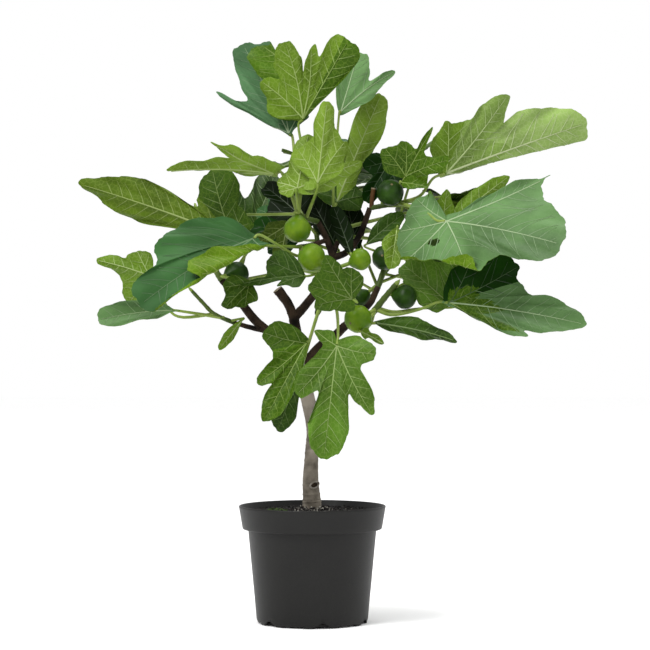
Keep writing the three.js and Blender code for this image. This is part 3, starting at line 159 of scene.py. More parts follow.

# ---------------------------------------------------------------- foliage masses
# stem: path from the bough's tip. A leaf's stalk runs through the stalk points to the foot, and
# the middle rib from foot to tip. face: where the upper side looks. bend arches the rib, fold
# lifts the two sides, curl [side, start, turn, widen] rolls one side over beyond start + widen * u.
# spiral: leaves of the seeded rule, spread about heading (0 is the back, 90 is the left).
# looks: the tones of the upper side and the underside, partly the leaf's own green and partly painted light
# and shade of how much light falls on it. flap: how much wider a rolled side is than its outline. zones:
# parts whose tone departs from it, as painted light and shade such as a half that catches less light or a
# shadow cast by a leaf above, as [first angle, last angle, share of the way to the rim where it starts and
# ends, tone]. holes: [u, v, half length, half width].

MASSES = [
  dict(name="foliage_top", stem=[[7, 10, 518], [-6, -6, 521], [-19, -24, 527]], radii=[3.6, 3.4, 3.2],
    figs=[dict(at=[-19, -30, 507], size=17.5, root=[-18, -23, 526], bright=True)],
    spiral=dict(count=3, heading=20, spread=110),
    leaves=[
      # The first leaf's teal upper side is lightened as painted light and has a painted bluish sheen of the
      # sky.
      dict(stalk=[[-18, -22, 526]], foot=[-31, 40, 635], tip=[-93, 85, 758], face=[-0.2, -1, 0.25],
        looks="teal grass", bend=-15, fold=8, curl=[-1, 0.2, 155], flap=1.6,
        heelA=[[-172, 0.04], [-90, 0.09]], heelB=[[36, 0.4], [28, 0.2], [172, 0.03]],
        lobes=[[-60, 0.5, 0.13, 0.55], [-22, 0.95, 0.15, 0.92], [0, 1, 0.22, 0.5, 0.55, 0.6],
          [39, 0.8, 0.02, 0]]),
      # The second leaf's half beyond the rib is a darker grass green: painted shade on the half that catches
      # less light.
      dict(stalk=[[-18, -22, 526], [-12, -8, 597]], foot=[-12, 5, 651], tip=[46, -45, 746],
        face=[0.1, 1, 0.3], looks="mid fresh", bend=15, fold=-6, zones=[[-3, 172, 0, 1, "grass"]],
        heelB=[[14, 0.5], [14, 0.2], [172, 0.05]],
        lobes=[[-76, 0.61, 0.12, 0.5], [-41, 0.87, 0.2, 0.52], [-22, 0.82, 0.13, 0.72],
          [0, 1, 0.22, 0, 0.8]]),
      # The lime of the next three leaves is painted light glowing through them.
      dict(stalk=[[-17, -21, 525]], foot=[-19, -45, 558], tip=[-5, -10, 630], face=[0, 1, 0.2],
        looks="lime lime", fold=10, heelB=[[70, 0.5], [100, 0.2], [172, 0.05]],
        lobes=[[-120, 0.3, 0.12, 0.25], [-75, 0.35, 0.12, 0.4], [0, 1, 0.22, 0.55], [49, 1.22, 0.12, 0]]),
      dict(stalk=[[-8, -9, 522]], foot=[7, -45, 565], tip=[19, -60, 668], face=[0, 1, 0.1],
        looks="fresh lime", heelB=[[60, 0.3], [172, 0.05]],
        lobes=[[-110, 0.2, 0.06, 0.12], [-38, 0.5, 0.14, 0.55], [0, 1, 0.15, 0.69], [27, 0.62, 0.13, 0.4]]),
      dict(stalk=[[-18, -22, 526]], foot=[-50, -25, 578], tip=[-183, -95, 579], face=[0, 0.35, 0.94],
        looks="sage lime", bend=12, fold=10,
        lobes=[[-100, 0.15, 0.08, 0.13], [-33, 0.34, 0.08, 0.3], [0, 1, 0.13, 0.5, 0.35],
          [27, 0.83, 0.05, 0.28, 0.3], [95, 0.13, 0.08, 0]]),
    ]),
  dict(name="foliage_upper", stem=[[33, 24, 492], [36, 27, 501], [39, 30, 511]], radii=[3.2, 3.1, 3],
    spiral=dict(count=3, heading=-10, spread=60),
    leaves=[
      dict(stalk=[[38, 29, 508], [27, 20, 545]], foot=[37, 35, 663], tip=[62, 85, 750], face=[0.2, -1, 0.2],
        looks="sage light", bend=10, fold=6, heelA=[[-172, 0.05], [-80, 0.1], [-50, 0.4]],
        heelB=[[30, 0.3], [172, 0.05]], lobes=[[-31.5, 0.98, 0.075, 0.62], [0, 1, 0.22, 0]]),
      # This leaf's lime underside is painted light glowing through it, and its side lobes are deep green as
      # painted shade.
      dict(stalk=[[38, 29, 508]], foot=[32, 35, 545], tip=[91, 80, 691], face=[0, 1, 0.1], looks="mid lime",
        bend=15, zones=[[-172, -22, 0, 1, "deep"], [22, 172, 0, 1, "deep"]],
        lobes=[[-46, 0.36, 0.12, 0.3], [0, 1, 0.15, 0.3], [50, 0.25, 0.1, 0]]),
      # Dark on the next two leaves is painted shade deep in the crown.
      dict(stalk=[[36, 27, 501], [50, 50, 484]], foot=[60, 70, 483], tip=[40, 90, 564], face=[0, -1, 0.3],
        looks="dark dark", lobes=[[0, 1, 0.19, 0, 0.3]], **heel((30, 0.4), (20, 0.4))),
      dict(stalk=[[36, 26, 499], [47, 8, 478]], foot=[49, -10, 478], tip=[27, 0, 538], face=[0, 1, 0.3],
        looks="mid dark", **OVAL),
    ]),
  dict(name="foliage_right_high", stem=[[75, 35, 537], [95, 30, 540], [114, 25, 543]], radii=[3.3, 3, 2.6],
    stub=dict(path=[[77, 34, 537], [78, 35, 550], [80, 35, 563]], radii=[3, 2.9, 2.9]),
    figs=[dict(at=[101, 10, 555], size=17.5, root=[99, 28, 541])],
    spiral=dict(count=3, heading=-50, spread=100),
    leaves=[
      # The pale of this leaf's underside is painted light shining through it; its dim zones are that
      # underside in painted shade, and its far lobes are light green.
      dict(stalk=[[113, 25, 543], [139, 5, 551]], foot=[174, 15, 581], tip=[363, 80, 651], face=[0, 1, 0.3],
        looks="mid pale", bend=12, fold=4, curl=[1, -0.02, 130, 0.09],
        zones=[[-50, -19, 0, 1, "dim"], [-180, -50, 0, 1, "light"], [-19, 172, 0, 0.4, "dim"]],
        lobes=[[-70, 0.32, 0.08, 0.36], [-31, 0.64, 0.1, 0.5, 0.5], [0, 1.01, 0.24, 0.4, 0.5, 0.62],
          [28, 0.45, 0.1, 0]]),
      dict(stalk=[[112, 25, 543]], foot=[121, 10, 577], tip=[157, 0, 641], face=[0, -1, 0.3],
        looks="grass grass",
        lobes=[[-82, 0.42, 0.12, 0.45], [-42, 0.85, 0.16, 0.5], [0, 1, 0.07, 0.5, 0.3],
          [28, 0.62, 0.15, 0.56], [64, 0.62, 0.2, 0]]),
      dict(stalk=[[111, 25, 543]], foot=[116, 0, 568], tip=[149, -20, 561], face=[0, -1, 0.3],
        looks="grass grass", lobes=[[0, 1, 0.17, 0]], **heel((40, 0.4), (40, 0.4))),
      dict(stalk=[[113, 25, 543]], foot=[179, -25, 516], tip=[255, 15, 577], face=[0, 1, 0.2],
        looks="mid light", **plain(0.13, 23, 0.35)),
      dict(stalk=[[112, 25, 543]], foot=[167, -30, 515], tip=[172, -35, 556], face=[0, 1, 0.2],
        looks="mid light", **ROUND),
      dict(stalk=[[112, 25, 543]], foot=[158, -30, 516], tip=[149, -35, 555], face=[0, -1, 0.2],
        looks="mid light", lobes=[[0, 1, 0.15, 0]], **heel((30, 0.45), (30, 0.45))),
      dict(stalk=[[113, 25, 543], [143, -50, 528]], foot=[169, -90, 514], tip=[305, -175, 481],
        face=[0, -1, 0.45], looks="sage bright", bend=20, fold=-6, curl=[-1, 0.33, 155],
        holes=[[-0.03, -0.19, 0.06, 0.034]], heelA=[[-240, 0.05]], heelB=[[49, 0.4], [54, 0.2], [110, 0.05]],
        lobes=[[-206, 0.5, 0.1, 0.43], [-165, 0.45, 0.12, 0.44], [-122, 0.48, 0.13, 0.38],
          [-48, 0.62, 0.17, 0.62], [0, 1, 0.24, 0.77, 0.8], [41, 0.86, 0.07, 0, 0.3]]),
      # Night and dark on this leaf are painted shade deep in the crown.
      dict(stalk=[[90, 32, 539]], foot=[103, 55, 601], tip=[69, 40, 544], face=[0, -1, 0.1],
        looks="night dark", lobes=[[-40, 0.6, 0.2, 0.5], [0, 1, 0.22, 0.5], [40, 0.6, 0.2, 0]]),
    ]),
  dict(name="foliage_right_low", stem=[[77, -30, 399], [92, -37, 418], [107, -42, 436]],
    radii=[4.2, 3.8, 3.4],
    figs=[dict(at=[118, -40, 420], size=15.5, root=[97, -39, 424]),
      dict(at=[59, -60, 392], size=18, root=[81, -33, 404], bright=True)],
    spiral=dict(count=3, heading=-80, spread=110),
    leaves=[
      # The night zone of the first leaf is a painted shadow cast by the leaf above it on its upper lobe.
      dict(stalk=[[81, -32, 404], [103, -38, 397], [137, -45, 404]], foot=[175, -55, 412],
        tip=[339, -130, 385], face=[0, -1, 0.4], looks="sage bright", bend=20, fold=4,
        zones=[[22, 172, 0.35, 1, "night"], [22, 172, 0, 0.35, "grass"], [-30, -15, 0, 0.85, "grass"],
          [-15, 22, 0, 0.36, "grass"]], heelA=[[-172, 0.05], [-14, 0.2], [-20, 0.42]],
        lobes=[[-25, 0.68, 0.08, 0.8], [0, 1, 0.17, 0.6, 0.4], [36, 0.54, 0.2, 0.36], [76, 0.3, 0.12, 0]]),
      dict(stalk=[[83, -33, 406], [105, -33, 401], [137, -36, 405]], foot=[174, -30, 412],
        tip=[116, -10, 463], face=[0, -1, 0.3], looks="mid deep",
        lobes=[[-60, 0.66, 0.2, 0.7], [0, 1, 0.3, 0.7], [50, 0.45, 0.15, 0]]),
      dict(stalk=[[80, -32, 402]], foot=[82, -65, 386], tip=[179, -135, 364], face=[0, 1, 0.4],
        looks="dusk deep", lobes=[[0, 1, 0.09, 0, 0.35]], **heel((20, 0.35), (20, 0.35))),
      dict(stalk=[[80, -32, 402], [74, -52, 384]], foot=[63, -75, 375], tip=[88, -90, 361], face=[0, 1, 0.5],
        looks="mid light", **YOUNG),
    ]),
  dict(name="foliage_right_mid", stem=[[85, 11, 433], [91, 17, 450], [96, 20, 466], [102, 17, 480]],
    radii=[3.8, 3.6, 3.4, 3],
    figs=[dict(at=[93, 0, 471], size=16, root=[97, 20, 468]),
      dict(at=[63, 20, 419], size=13, root=[87, 13, 438])], spiral=dict(count=3, heading=-60, spread=100),
    leaves=[
      dict(stalk=[[101, 18, 477], [108, -10, 490]], foot=[108, -40, 505], tip=[100, -60, 454],
        face=[0, -1, 0.3], looks="fresh fresh", **ROUND),
      dict(stalk=[[100, 18, 476], [82, 12, 480]], foot=[72, 10, 490], tip=[118, 20, 528], face=[0, -1, 0.3],
        looks="deep deep", lobes=[[0, 1, 0.22, 0]], **heel((30, 0.5), (30, 0.4))),
    ]),
  dict(name="foliage_centre", stem=[[20, -22, 452], [22, -52, 452], [20, -80, 441]], radii=[3.2, 3, 2.8],
    figs=[dict(at=[0, -60, 469], size=18, root=[21, -50, 453], bright=True),
      dict(at=[61, -50, 467], size=14, root=[21, -42, 453], bright=True)],
    leaves=[
      dict(stalk=[[22, -58, 451]], foot=[50, -110, 416], tip=[-5, -125, 434], face=[0, -1, 0.2],
        looks="dusk mid",
        lobes=[[-68, 0.68, 0.2, 0.65], [-38, 1.05, 0.22, 0.9], [0, 1, 0.25, 0.85], [28, 0.88, 0.2, 0.5],
          [75, 0.35, 0.12, 0]]),
      dict(stalk=[[21, -40, 453]], foot=[-11, -70, 446], tip=[-90, -90, 435], face=[0, -1, 0.5],
        looks="deep deep", lobes=[[-30, 0.6, 0.25, 0.6], [0, 1, 0.1, 0.4], [20, 0.5, 0.05, 0]]),
      dict(stalk=[[20, -78, 442], [31, -95, 403]], foot=[31, -125, 358], tip=[15, -150, 220],
        face=[0, -1, 0.1], looks="mid mid", bend=15,
        lobes=[[-118, 0.23, 0.055, 0.14], [-32, 0.58, 0.12, 0.46], [0, 1, 0.2, 0.465, 0.65],
          [33, 0.7, 0.1, 0.3, 0.4], [80, 0.37, 0.1, 0]]),
      dict(stalk=[[20, -77, 442], [10, -90, 409]], foot=[-7, -95, 361], tip=[-59, -125, 265],
        face=[0, -1, 0.1], looks="grass mid", zones=[[-172, -46, 0, 1, "dusk"]],
        heelB=[[20, 0.4], [20, 0.2], [172, 0.05]],
        lobes=[[-70, 0.5, 0.17, 0.42], [-21, 0.74, 0.1, 0.62], [0, 1, 0.16, 0]]),
      dict(stalk=[[21, -74, 443], [2, -72, 380]], foot=[-15, -70, 325], tip=[-43, -80, 251],
        face=[0, -1, 0.1], looks="deep deep", **YOUNG),
    ]),
  dict(name="foliage_left", stem=[[1, -9, 488], [-7, -13, 486], [-16, -16, 485]], radii=[2.9, 2.8, 2.7],
    spiral=dict(count=3, heading=70, spread=60),
    leaves=[
      dict(stalk=[[-14, -15, 485], [-20, -48, 472]], foot=[-75, -85, 492], tip=[-208, -185, 407],
        face=[-0.2, -1, 0.5], looks="jade bright", bend=30, fold=6, curl=[1, 0.1, 160], flap=1.5,
        heelA=[[-172, 0.05], [-100, 0.12], [-66, 0.28], [-48, 0.42], [-34, 0.56], [-22, 0.7]],
        lobes=[[0, 1, 0.17, 0.75, 0.9], [18, 0.66, 0.1, 0.4], [80, 0.14, 0.08, 0]]),
      dict(stalk=[[-15, -16, 485], [-26, -34, 484]], foot=[-102, -35, 495], tip=[-304, 10, 568],
        face=[0, 1, 0.3], looks="mid olive", zones=[[26, 172, 0, 1, "dusk"]],
        lobes=[[-50, 0.2, 0.08, 0.24], [0, 1, 0.145, 0.31, 0.3, 0.64], [50, 0.42, 0.16, 0.21],
          [95, 0.17, 0.08, 0]]),
    ]),
  dict(name="foliage_left_low", stem=[[-100, -44, 387], [-124, -55, 398], [-139, -60, 413], [-152, -60, 427]],
    radii=[2.8, 2.6, 2.4, 2.2], spiral=dict(count=3, heading=80, spread=90),
    leaves=[
      dict(stalk=[[-112, -50, 393]], foot=[-176, -80, 402], tip=[-265, -130, 390], face=[0, -1, 0.5],
        looks="sage light", **plain(0.17, 23, 0.35, 0.75)),
      dict(stalk=[[-124, -55, 398], [-166, -62, 394], [-184, -61, 408]], foot=[-205, -60, 446],
        tip=[-273, -30, 467], face=[0, 1, 0.3], looks="mid light",
        lobes=[[-56, 0.8, 0.24, 0.66], [0, 1.03, 0.15, 0.6], [40, 0.5, 0.15, 0]]),
      dict(stalk=[[-104, -46, 389]], foot=[-90, -52, 389], tip=[-116, -68, 354], face=[0, 1, 0.3],
        looks="mid light", **SLIM),
    ]),
  dict(name="foliage_left_mid", stem=[[-115, -40, 441], [-122, -38, 452], [-126, -32, 464]],
    radii=[4.2, 3.6, 3.2], figs=[dict(at=[-98, -20, 449], size=16.5, root=[-117, -39, 446])],
    spiral=dict(count=3, heading=60, spread=100),
    leaves=[
      dict(stalk=[[-119, -39, 446]], foot=[-78, -82, 437], tip=[-109, -90, 405], face=[0, -1, 0.3],
        looks="dusk deep", lobes=[[-35, 0.75, 0.3, 0.8], [0, 1, 0.35, 0.8], [35, 0.75, 0.3, 0]]),
    ]),
  dict(name="foliage_back_left", stem=[[-93, 105, 413], [-105, 122, 436], [-108, 132, 462]],
    radii=[4.2, 3.8, 3.2], spiral=dict(count=6, heading=35, spread=130), leaves=[]),
  dict(name="foliage_back_right", stem=[[68, 104, 404], [84, 120, 428], [96, 130, 456]],
    radii=[4.2, 3.8, 3.2], spiral=dict(count=6, heading=-35, spread=130), leaves=[]),
  dict(name="foliage_back_top", stem=[[8, 52, 480], [5, 66, 505], [0, 78, 534]], radii=[3.4, 3.2, 3],
    spiral=dict(count=6, heading=0, spread=130),
    leaves=[
      # Dark and night here are painted shade of leaves at the back of the crown.
      dict(stalk=[[5, 65, 503]], foot=[-17, 60, 529], tip=[-65, 100, 570], face=[0, -1, 0.3],
        looks="dark dark", lobes=[[-45, 0.6, 0.2, 0.6], [0, 1, 0.22, 0.6], [40, 0.6, 0.2, 0]]),
      dict(stalk=[[6, 60, 495]], foot=[-17, 80, 499], tip=[-79, 120, 517], face=[0, -1, 0.3],
        looks="night dark", lobes=[[-55, 0.6, 0.2, 0.6], [0, 1, 0.33, 0.6], [50, 0.6, 0.2, 0]]),
      dict(stalk=[[7, 57, 489]], foot=[30, 60, 489], tip=[-12, 90, 569], face=[0, -1, 0.3], looks="dark dark",
        **OVAL),
    ]),
]

# ---------------------------------------------------------------- colours

# Tones dealt in turn to leaves of the seeded rule; their deep and dusk greens are partly painted shade.
SPIRAL_LOOKS = ["deep olive", "dusk olive", "deep light", "olive dusk", "jade light"]

# tone: colour of the skin, colour of its veins, roughness. Besides the leaves' own greens, several tones are
# lit and shaded copies of a green that paint light and shade: dark and night are painted shade of leaves deep
# in the crown, night also a painted shadow cast by a leaf above; deep and dusk are darker greens, partly
# painted shade; pale is painted light glowing through an underside, dim that underside in painted shade, and
# lime a painted glow that lightens undersides in shade; sage, jade and teal are the grey green of upper sides
# with a painted bluish sheen of the sky's reflection, teal also lightened as painted light.
TONES = {
    "sage": [(106, 144, 88), (184, 212, 156), 0.45],
    "jade": [(66, 108, 60), (112, 150, 94), 0.45],
    "teal": [(94, 136, 92), (188, 214, 164), 0.45],
    "mid": [(94, 132, 46), (160, 188, 100), 0.42],
    "deep": [(62, 90, 30), (114, 144, 68), 0.45],
    "dark": [(28, 46, 13), (58, 82, 34), 0.55],
    "night": [(32, 66, 8), (64, 100, 34), 0.55],
    "grass": [(78, 112, 16), (158, 188, 84), 0.42],
    "fresh": [(116, 150, 46), (190, 216, 120), 0.45],
    "lime": [(134, 168, 60), (190, 214, 124), 0.5],
    "light": [(108, 142, 42), (174, 200, 110), 0.55],
    "dim": [(130, 160, 78), (194, 216, 142), 0.55],
    "pale": [(154, 184, 102), (216, 232, 172), 0.6],
    "bright": [(98, 132, 20), (166, 190, 84), 0.5],
    "olive": [(92, 118, 30), (162, 184, 90), 0.55],
    "dusk": [(66, 94, 22), (128, 156, 66), 0.55],
}
SMOOTH_TONES = {"sage", "jade", "teal", "dark", "night"}

LIGHT, SHEEN = 2.05, 0.011  # how the studio brightens a base colour, and what its gloss adds
SKIN = Sizes(drift=(0.86, 1.14), drift_scale=16, drift_ends=(0.32, 0.7), net_scale=170, net_width=0.1,
             net_share=0.28, smooth_net_share=0.06, gloss=0.08, dark_gloss=0.05, dark_below=75,
             side_vein=0.8, smooth_side_vein=0.35)

# ---------------------------------------------------------------- small helpers


def vec(p):
    return np.array(p, float)


def unit(v):
    return v / np.linalg.norm(v, axis=-1, keepdims=True)


def between(span, share):
    return span[0] + (span[1] - span[0]) * share


def seeded_numbers(start):
    """The same run of numbers between 0 and 1 that the source of the solids draws."""
    state = start
    while True:
        state = (state * 1664525 + 1013904223) % 2**32
        yield state / 2**32


def smooth_step(x):
    x = np.clip(x, 0, 1)
    return x * x * (3 - 2 * x)


def waves(table, angle, phase):
    """Sum of sine waves given as (height, how many there are in a turn)."""
    return sum(height * np.sin(count * angle + (k + 1) * phase) for k, (height, count) in enumerate(table))


def spline(p0, p1, p2, p3, f):
    """Points of the smooth curve through four points, at f from 0 to 1 between the middle two."""
    return 0.5 * (2 * p1 + (p2 - p0) * f + (2 * p0 - 5 * p1 + 4 * p2 - p3) * f**2
                  + (3 * p1 - p0 - 3 * p2 + p3) * f**3)


def curve(path, t):
    """Points of the smooth open curve through the path, at t from 0 to 1."""
    points = vec(path)
    last = len(points) - 1
    place = np.clip(np.asarray(t, float) * last, 0, last)
    k = np.minimum(np.floor(place).astype(int), last - 1)
    padded = np.vstack([2 * points[0] - points[1], points, 2 * points[-1] - points[-2]])
    return spline(*(padded[k + j] for j in range(4)), (place - k)[..., None])


def evenly(values, t):
    return np.interp(t, np.linspace(0, 1, len(values)), values)


def gap_to(points, lines):
    """Distance of each point from the nearest point of the lines, a block of them at a time."""
    block = 100
    gap = np.full(len(points), np.inf)
    for part in np.array_split(lines, max(1, len(lines) // block)):
        gap = np.minimum(gap, np.linalg.norm(points[:, None] - part, axis=2).min(1))
    return gap


def linear(rgb):
    """Linear colour of one given as 0 to 255 on a screen."""
    c = vec(rgb) / 255
    return np.where(c <= 0.04045, c / 12.92, ((c + 0.055) / 1.055) ** 2.4)


def colour(rgb):
    """Base colour that looks like this on the screen in the light of the studio."""
    darkest, lightest = 1 / 4, 0.9
    tone = linear(rgb)
    return (*np.clip((tone - SHEEN) / LIGHT, tone * darkest, lightest), 1)


# ---------------------------------------------------------------- mesh building


class Parts:
    """Vertices and faces of many shapes that become one object. Faces are in blocks of one material."""

    def __init__(self):
        self.points, self.blocks, self.count = [], [], 0

    def add(self, points, faces, material):
        points = np.asarray(points, float).reshape(-1, 3)
        self.blocks.append((np.asarray(faces, int) + self.count, material))
        self.points.append(points)
        self.count += len(points)

    def build(self, name, smooth=True):
        mesh = bpy.data.meshes.new(name)
        points = np.vstack(self.points) * MM
        materials = []
        loops, totals, slots = [], [], []
        for faces, material in self.blocks:
            if material not in materials:
                materials.append(material)
            loops.append(faces.ravel())
            totals.append(np.full(len(faces), faces.shape[1]))
            slots.append(np.full(len(faces), materials.index(material)))
        loops, totals, slots = (np.concatenate(group) for group in (loops, totals, slots))
        mesh.vertices.add(len(points))
        mesh.vertices.foreach_set("co", points.ravel())
        mesh.loops.add(len(loops))
        mesh.loops.foreach_set("vertex_index", loops.astype(np.int32))
        mesh.polygons.add(len(totals))
        starts = np.concatenate([[0], np.cumsum(totals)[:-1]])
        mesh.polygons.foreach_set("loop_start", starts.astype(np.int32))
        mesh.polygons.foreach_set("material_index", slots.astype(np.int32))
        mesh.polygons.foreach_set("use_smooth", np.full(len(totals), smooth))
        for material in materials:
            mesh.materials.append(material)
        mesh.update(calc_edges=True)
        piece = bpy.data.objects.new(name, mesh)
        bpy.context.scene.collection.objects.link(piece)
        return piece


def dress(piece, replaced=None):
    """Fixes a piece to the plant's body, and hides the solid that it replaces."""
    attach(piece, "root")
    if replaced:
        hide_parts(replaced)


def round_ring(count):
    return np.linspace(0, 2 * pi, count, endpoint=False)


def grid_faces(rows, columns, closed):
    """Quads of a grid of points, row after row. A closed one joins the last column to the first."""
    last = columns if closed else columns - 1
    i, j = np.meshgrid(np.arange(rows - 1), np.arange(last), indexing="ij")
    a = (i * columns + j).ravel()
    b = (i * columns + (j + 1) % columns).ravel()
    return np.stack([a, b, b + columns, a + columns], 1)


def fan_faces(count, middle):
    """Triangles from each side of a ring of points to a middle one."""
    return np.stack([np.arange(count), (np.arange(count) + 1) % count, np.full(count, middle)], 1)


def tube(parts, path, radii, material, sides=12, steps=24, relief=None, cap=None):
    """Round limb along a path. relief(t, angle) scales its radius, and cap is the material of its ends."""
    t = np.linspace(0, 1, steps + 1)
    centre = curve(path, t)
    ahead = unit(np.gradient(centre, axis=0))
    chord = unit(centre[-1] - centre[0])
    steep = abs(chord[2]) > 0.6
    aside = vec([0, 1, 0]) if steep else vec([0, 0, 1])
    right = unit(np.cross(aside, ahead))
    over = np.cross(ahead, right)
    angle = round_ring(sides)
    radius = np.repeat(evenly(radii, t)[:, None], sides, 1)
    if relief is not None:
        radius = radius * relief(t[:, None], angle[None, :])
    around = right[:, None] * np.cos(angle)[None, :, None] + over[:, None] * np.sin(angle)[None, :, None]
    points = centre[:, None] + around * radius[..., None]
    parts.add(points, grid_faces(steps + 1, sides, True), material)
    corners = fan_faces(sides, sides)
    parts.add(np.vstack([points[0], centre[0]]), corners[:, ::-1], cap or material)
    parts.add(np.vstack([points[-1], centre[-1]]), corners, cap or material)


# ---------------------------------------------------------------- materials


def start_material(name, roughness, specular=0.5):
    """New material, with its nodes, its links and its shader."""
    material = bpy.data.materials.new(name)
    material.use_nodes = True
    shader = material.node_tree.nodes["Principled BSDF"]
    shader.inputs["Roughness"].default_value = roughness
    shader.inputs["Specular IOR Level"].default_value = specular
    return material, material.node_tree.nodes, material.node_tree.links, shader


def node(nodes, kind, **values):
    made = nodes.new(kind)
    for key, value in values.items():
        if key in made.inputs:
            made.inputs[key].default_value = value
        else:
            setattr(made, key, value)
    return made


def pattern(nodes, links, kind, **values):
    """Texture that lies on the object by the object's own coordinates."""
    made = node(nodes, kind, **values)
    links.new(node(nodes, "ShaderNodeTexCoord").outputs["Object"], made.inputs["Vector"])
    return made


def ramp(nodes, links, value, ends, colours):
    """Colour that goes from one to another as the value goes from end to end."""
    made = node(nodes, "ShaderNodeValToRGB")
    for element, position, tone in zip(made.color_ramp.elements, ends, colours):
        element.position, element.color = position, tone
    links.new(value, made.inputs["Fac"])
    return made.outputs["Color"]


def add_bump(nodes, links, shader, height, strength, distance):
    relief = node(nodes, "ShaderNodeBump", Strength=strength, Distance=distance)
    links.new(height, relief.inputs["Height"])
    links.new(relief.outputs["Normal"], shader.inputs["Normal"])


def surface(name, low, high, roughness, scale, bump, bump_scale, detail=4, specular=0.5, ends=(0.35, 0.65)):
    """Material whose colour drifts between two tones with noise, and whose grain is a fine bump."""
    material, nodes, links, shader = start_material(name, roughness, specular)
    noise = pattern(nodes, links, "ShaderNodeTexNoise", Scale=scale, Detail=detail)
    skin = ramp(nodes, links, noise.outputs["Fac"], ends, (colour(low), colour(high)))
    links.new(skin, shader.inputs["Base Color"])
    grain = pattern(nodes, links, "ShaderNodeTexNoise", Scale=bump_scale, Detail=6)
    add_bump(nodes, links, shader, grain.outputs["Fac"], bump, 1 * MM)
    return material


def leaf_material(tone):
    """Leaf skin: a slow drift of the tone, the fine net of small veins, and a soft grain."""
    rgb, vein, roughness = TONES[tone]
    gloss = SKIN.dark_gloss if max(rgb) < SKIN.dark_below else SKIN.gloss
    material, nodes, links, shader = start_material("leaf_" + tone, roughness, gloss)
    noise = pattern(nodes, links, "ShaderNodeTexNoise", Scale=SKIN.drift_scale, Detail=3)
    drifting = [colour(np.minimum(vec(rgb) * share, 255)) for share in SKIN.drift]
    drift = ramp(nodes, links, noise.outputs["Fac"], SKIN.drift_ends, drifting)
    net = pattern(nodes, links, "ShaderNodeTexVoronoi", Scale=SKIN.net_scale, feature="DISTANCE_TO_EDGE")
    share = SKIN.smooth_net_share if tone in SMOOTH_TONES else SKIN.net_share
    fading = ((share, share, share, 1), (0, 0, 0, 1))
    thin = ramp(nodes, links, net.outputs["Distance"], (0, SKIN.net_width), fading)
    skin = node(nodes, "ShaderNodeMix", data_type="RGBA")
    links.new(thin, skin.inputs["Factor"])
    links.new(drift, skin.inputs["A"])
    skin.inputs["B"].default_value = colour(vein)
    links.new(skin.outputs["Result"], shader.inputs["Base Color"])
    add_bump(nodes, links, shader, thin, 0.35, 0.8 * MM)
    return material


def vein_material(name, low, high):
    return surface(name, low, high, 0.5, 60, 0.1, 900)


def side_vein_material(tone):
    """Side veins are fainter than the ribs, and hardly show on a smooth upper side."""
    rgb, vein, _ = TONES[tone]
    share = SKIN.smooth_side_vein if tone in SMOOTH_TONES else SKIN.side_vein
    faint = vec(vein) * share + vec(rgb) * (1 - share)
    return vein_material("side_vein_" + tone, faint * 0.95, faint)


def fig_material(name, low, high):
    return surface(name, low, high, 0.4, 60, 0.15, 500, specular=0.12, ends=(0.3, 0.75))


SKINS = {tone: leaf_material(tone) for tone in TONES}
VEINS = {tone: vein_material("vein_" + tone, vec(row[1]) * 0.94, vec(row[1])) for tone, row in TONES.items()}
SIDE_VEINS = {tone: side_vein_material(tone) for tone in TONES}
STALKS = surface("stalk_green", (128, 156, 58), (166, 188, 96), 0.45, 30, 0.2, 700, specular=0.2)
SHOOTS = surface("shoot_green", (70, 92, 38), (104, 124, 60), 0.5, 30, 0.3, 600, specular=0.15)
BARK = surface("bark_grey", (112, 104, 93), (176, 166, 151), 0.85, 55, 0.9, 420, detail=8, specular=0.2)
PALE_BARK = surface("bark_pale", (128, 120, 108), (188, 180, 168), 0.85, 90, 0.6, 420)
BOUGH = surface("bark_dark", (34, 26, 20), (80, 66, 54), 0.8, 60, 0.9, 480, detail=8, specular=0.1)
CUT = surface("cut_wood", (150, 132, 104), (186, 170, 140), 0.8, 150, 0.4, 900)
RED_WOOD = surface("young_wood", (90, 58, 34), (122, 86, 52), 0.6, 60, 0.5, 600, specular=0.15)
FIG_BRIGHT = fig_material("fig_bright", (90, 132, 12), (130, 164, 40))
FIG_DARK = fig_material("fig_dark", (32, 58, 8), (60, 94, 20))
FIG_EYE = surface("fig_eye", (96, 84, 40), (120, 104, 52), 0.6, 90, 0.3, 900)
PLASTIC = surface("pot_plastic", (26, 25, 22), (31, 30, 27), 0.48, 26, 0.25, 900, specular=0.24)
EARTH = surface("soil_dark", (18, 14, 10), (46, 35, 27), 0.95, 90, 1.0, 500, detail=8)
PERLITE = surface("soil_white", (176, 170, 158), (214, 208, 198), 0.9, 200, 0.6, 900)
MOSS = surface("soil_moss", (46, 74, 20), (92, 118, 34), 0.85, 200, 0.8, 900)

# ---------------------------------------------------------------- the leaf rule


def lobe_nose(length, blunt):
    """Points of a lobe's nose as (part of its reach, part of its half width)."""
    if length < BLADE.tiny_lobe:
        return [(1, 0)]
    if length < BLADE.small_lobe:
        return [(0.97, -0.65 * blunt), (0.97, 0.65 * blunt)]
    return [(0.93, -blunt), (1, 0), (0.93, blunt)]


def default_heel(lobe, side):
    return [lobe[0] + side * LOBE.heel_angle, lobe[1] * LOBE.heel_reach]


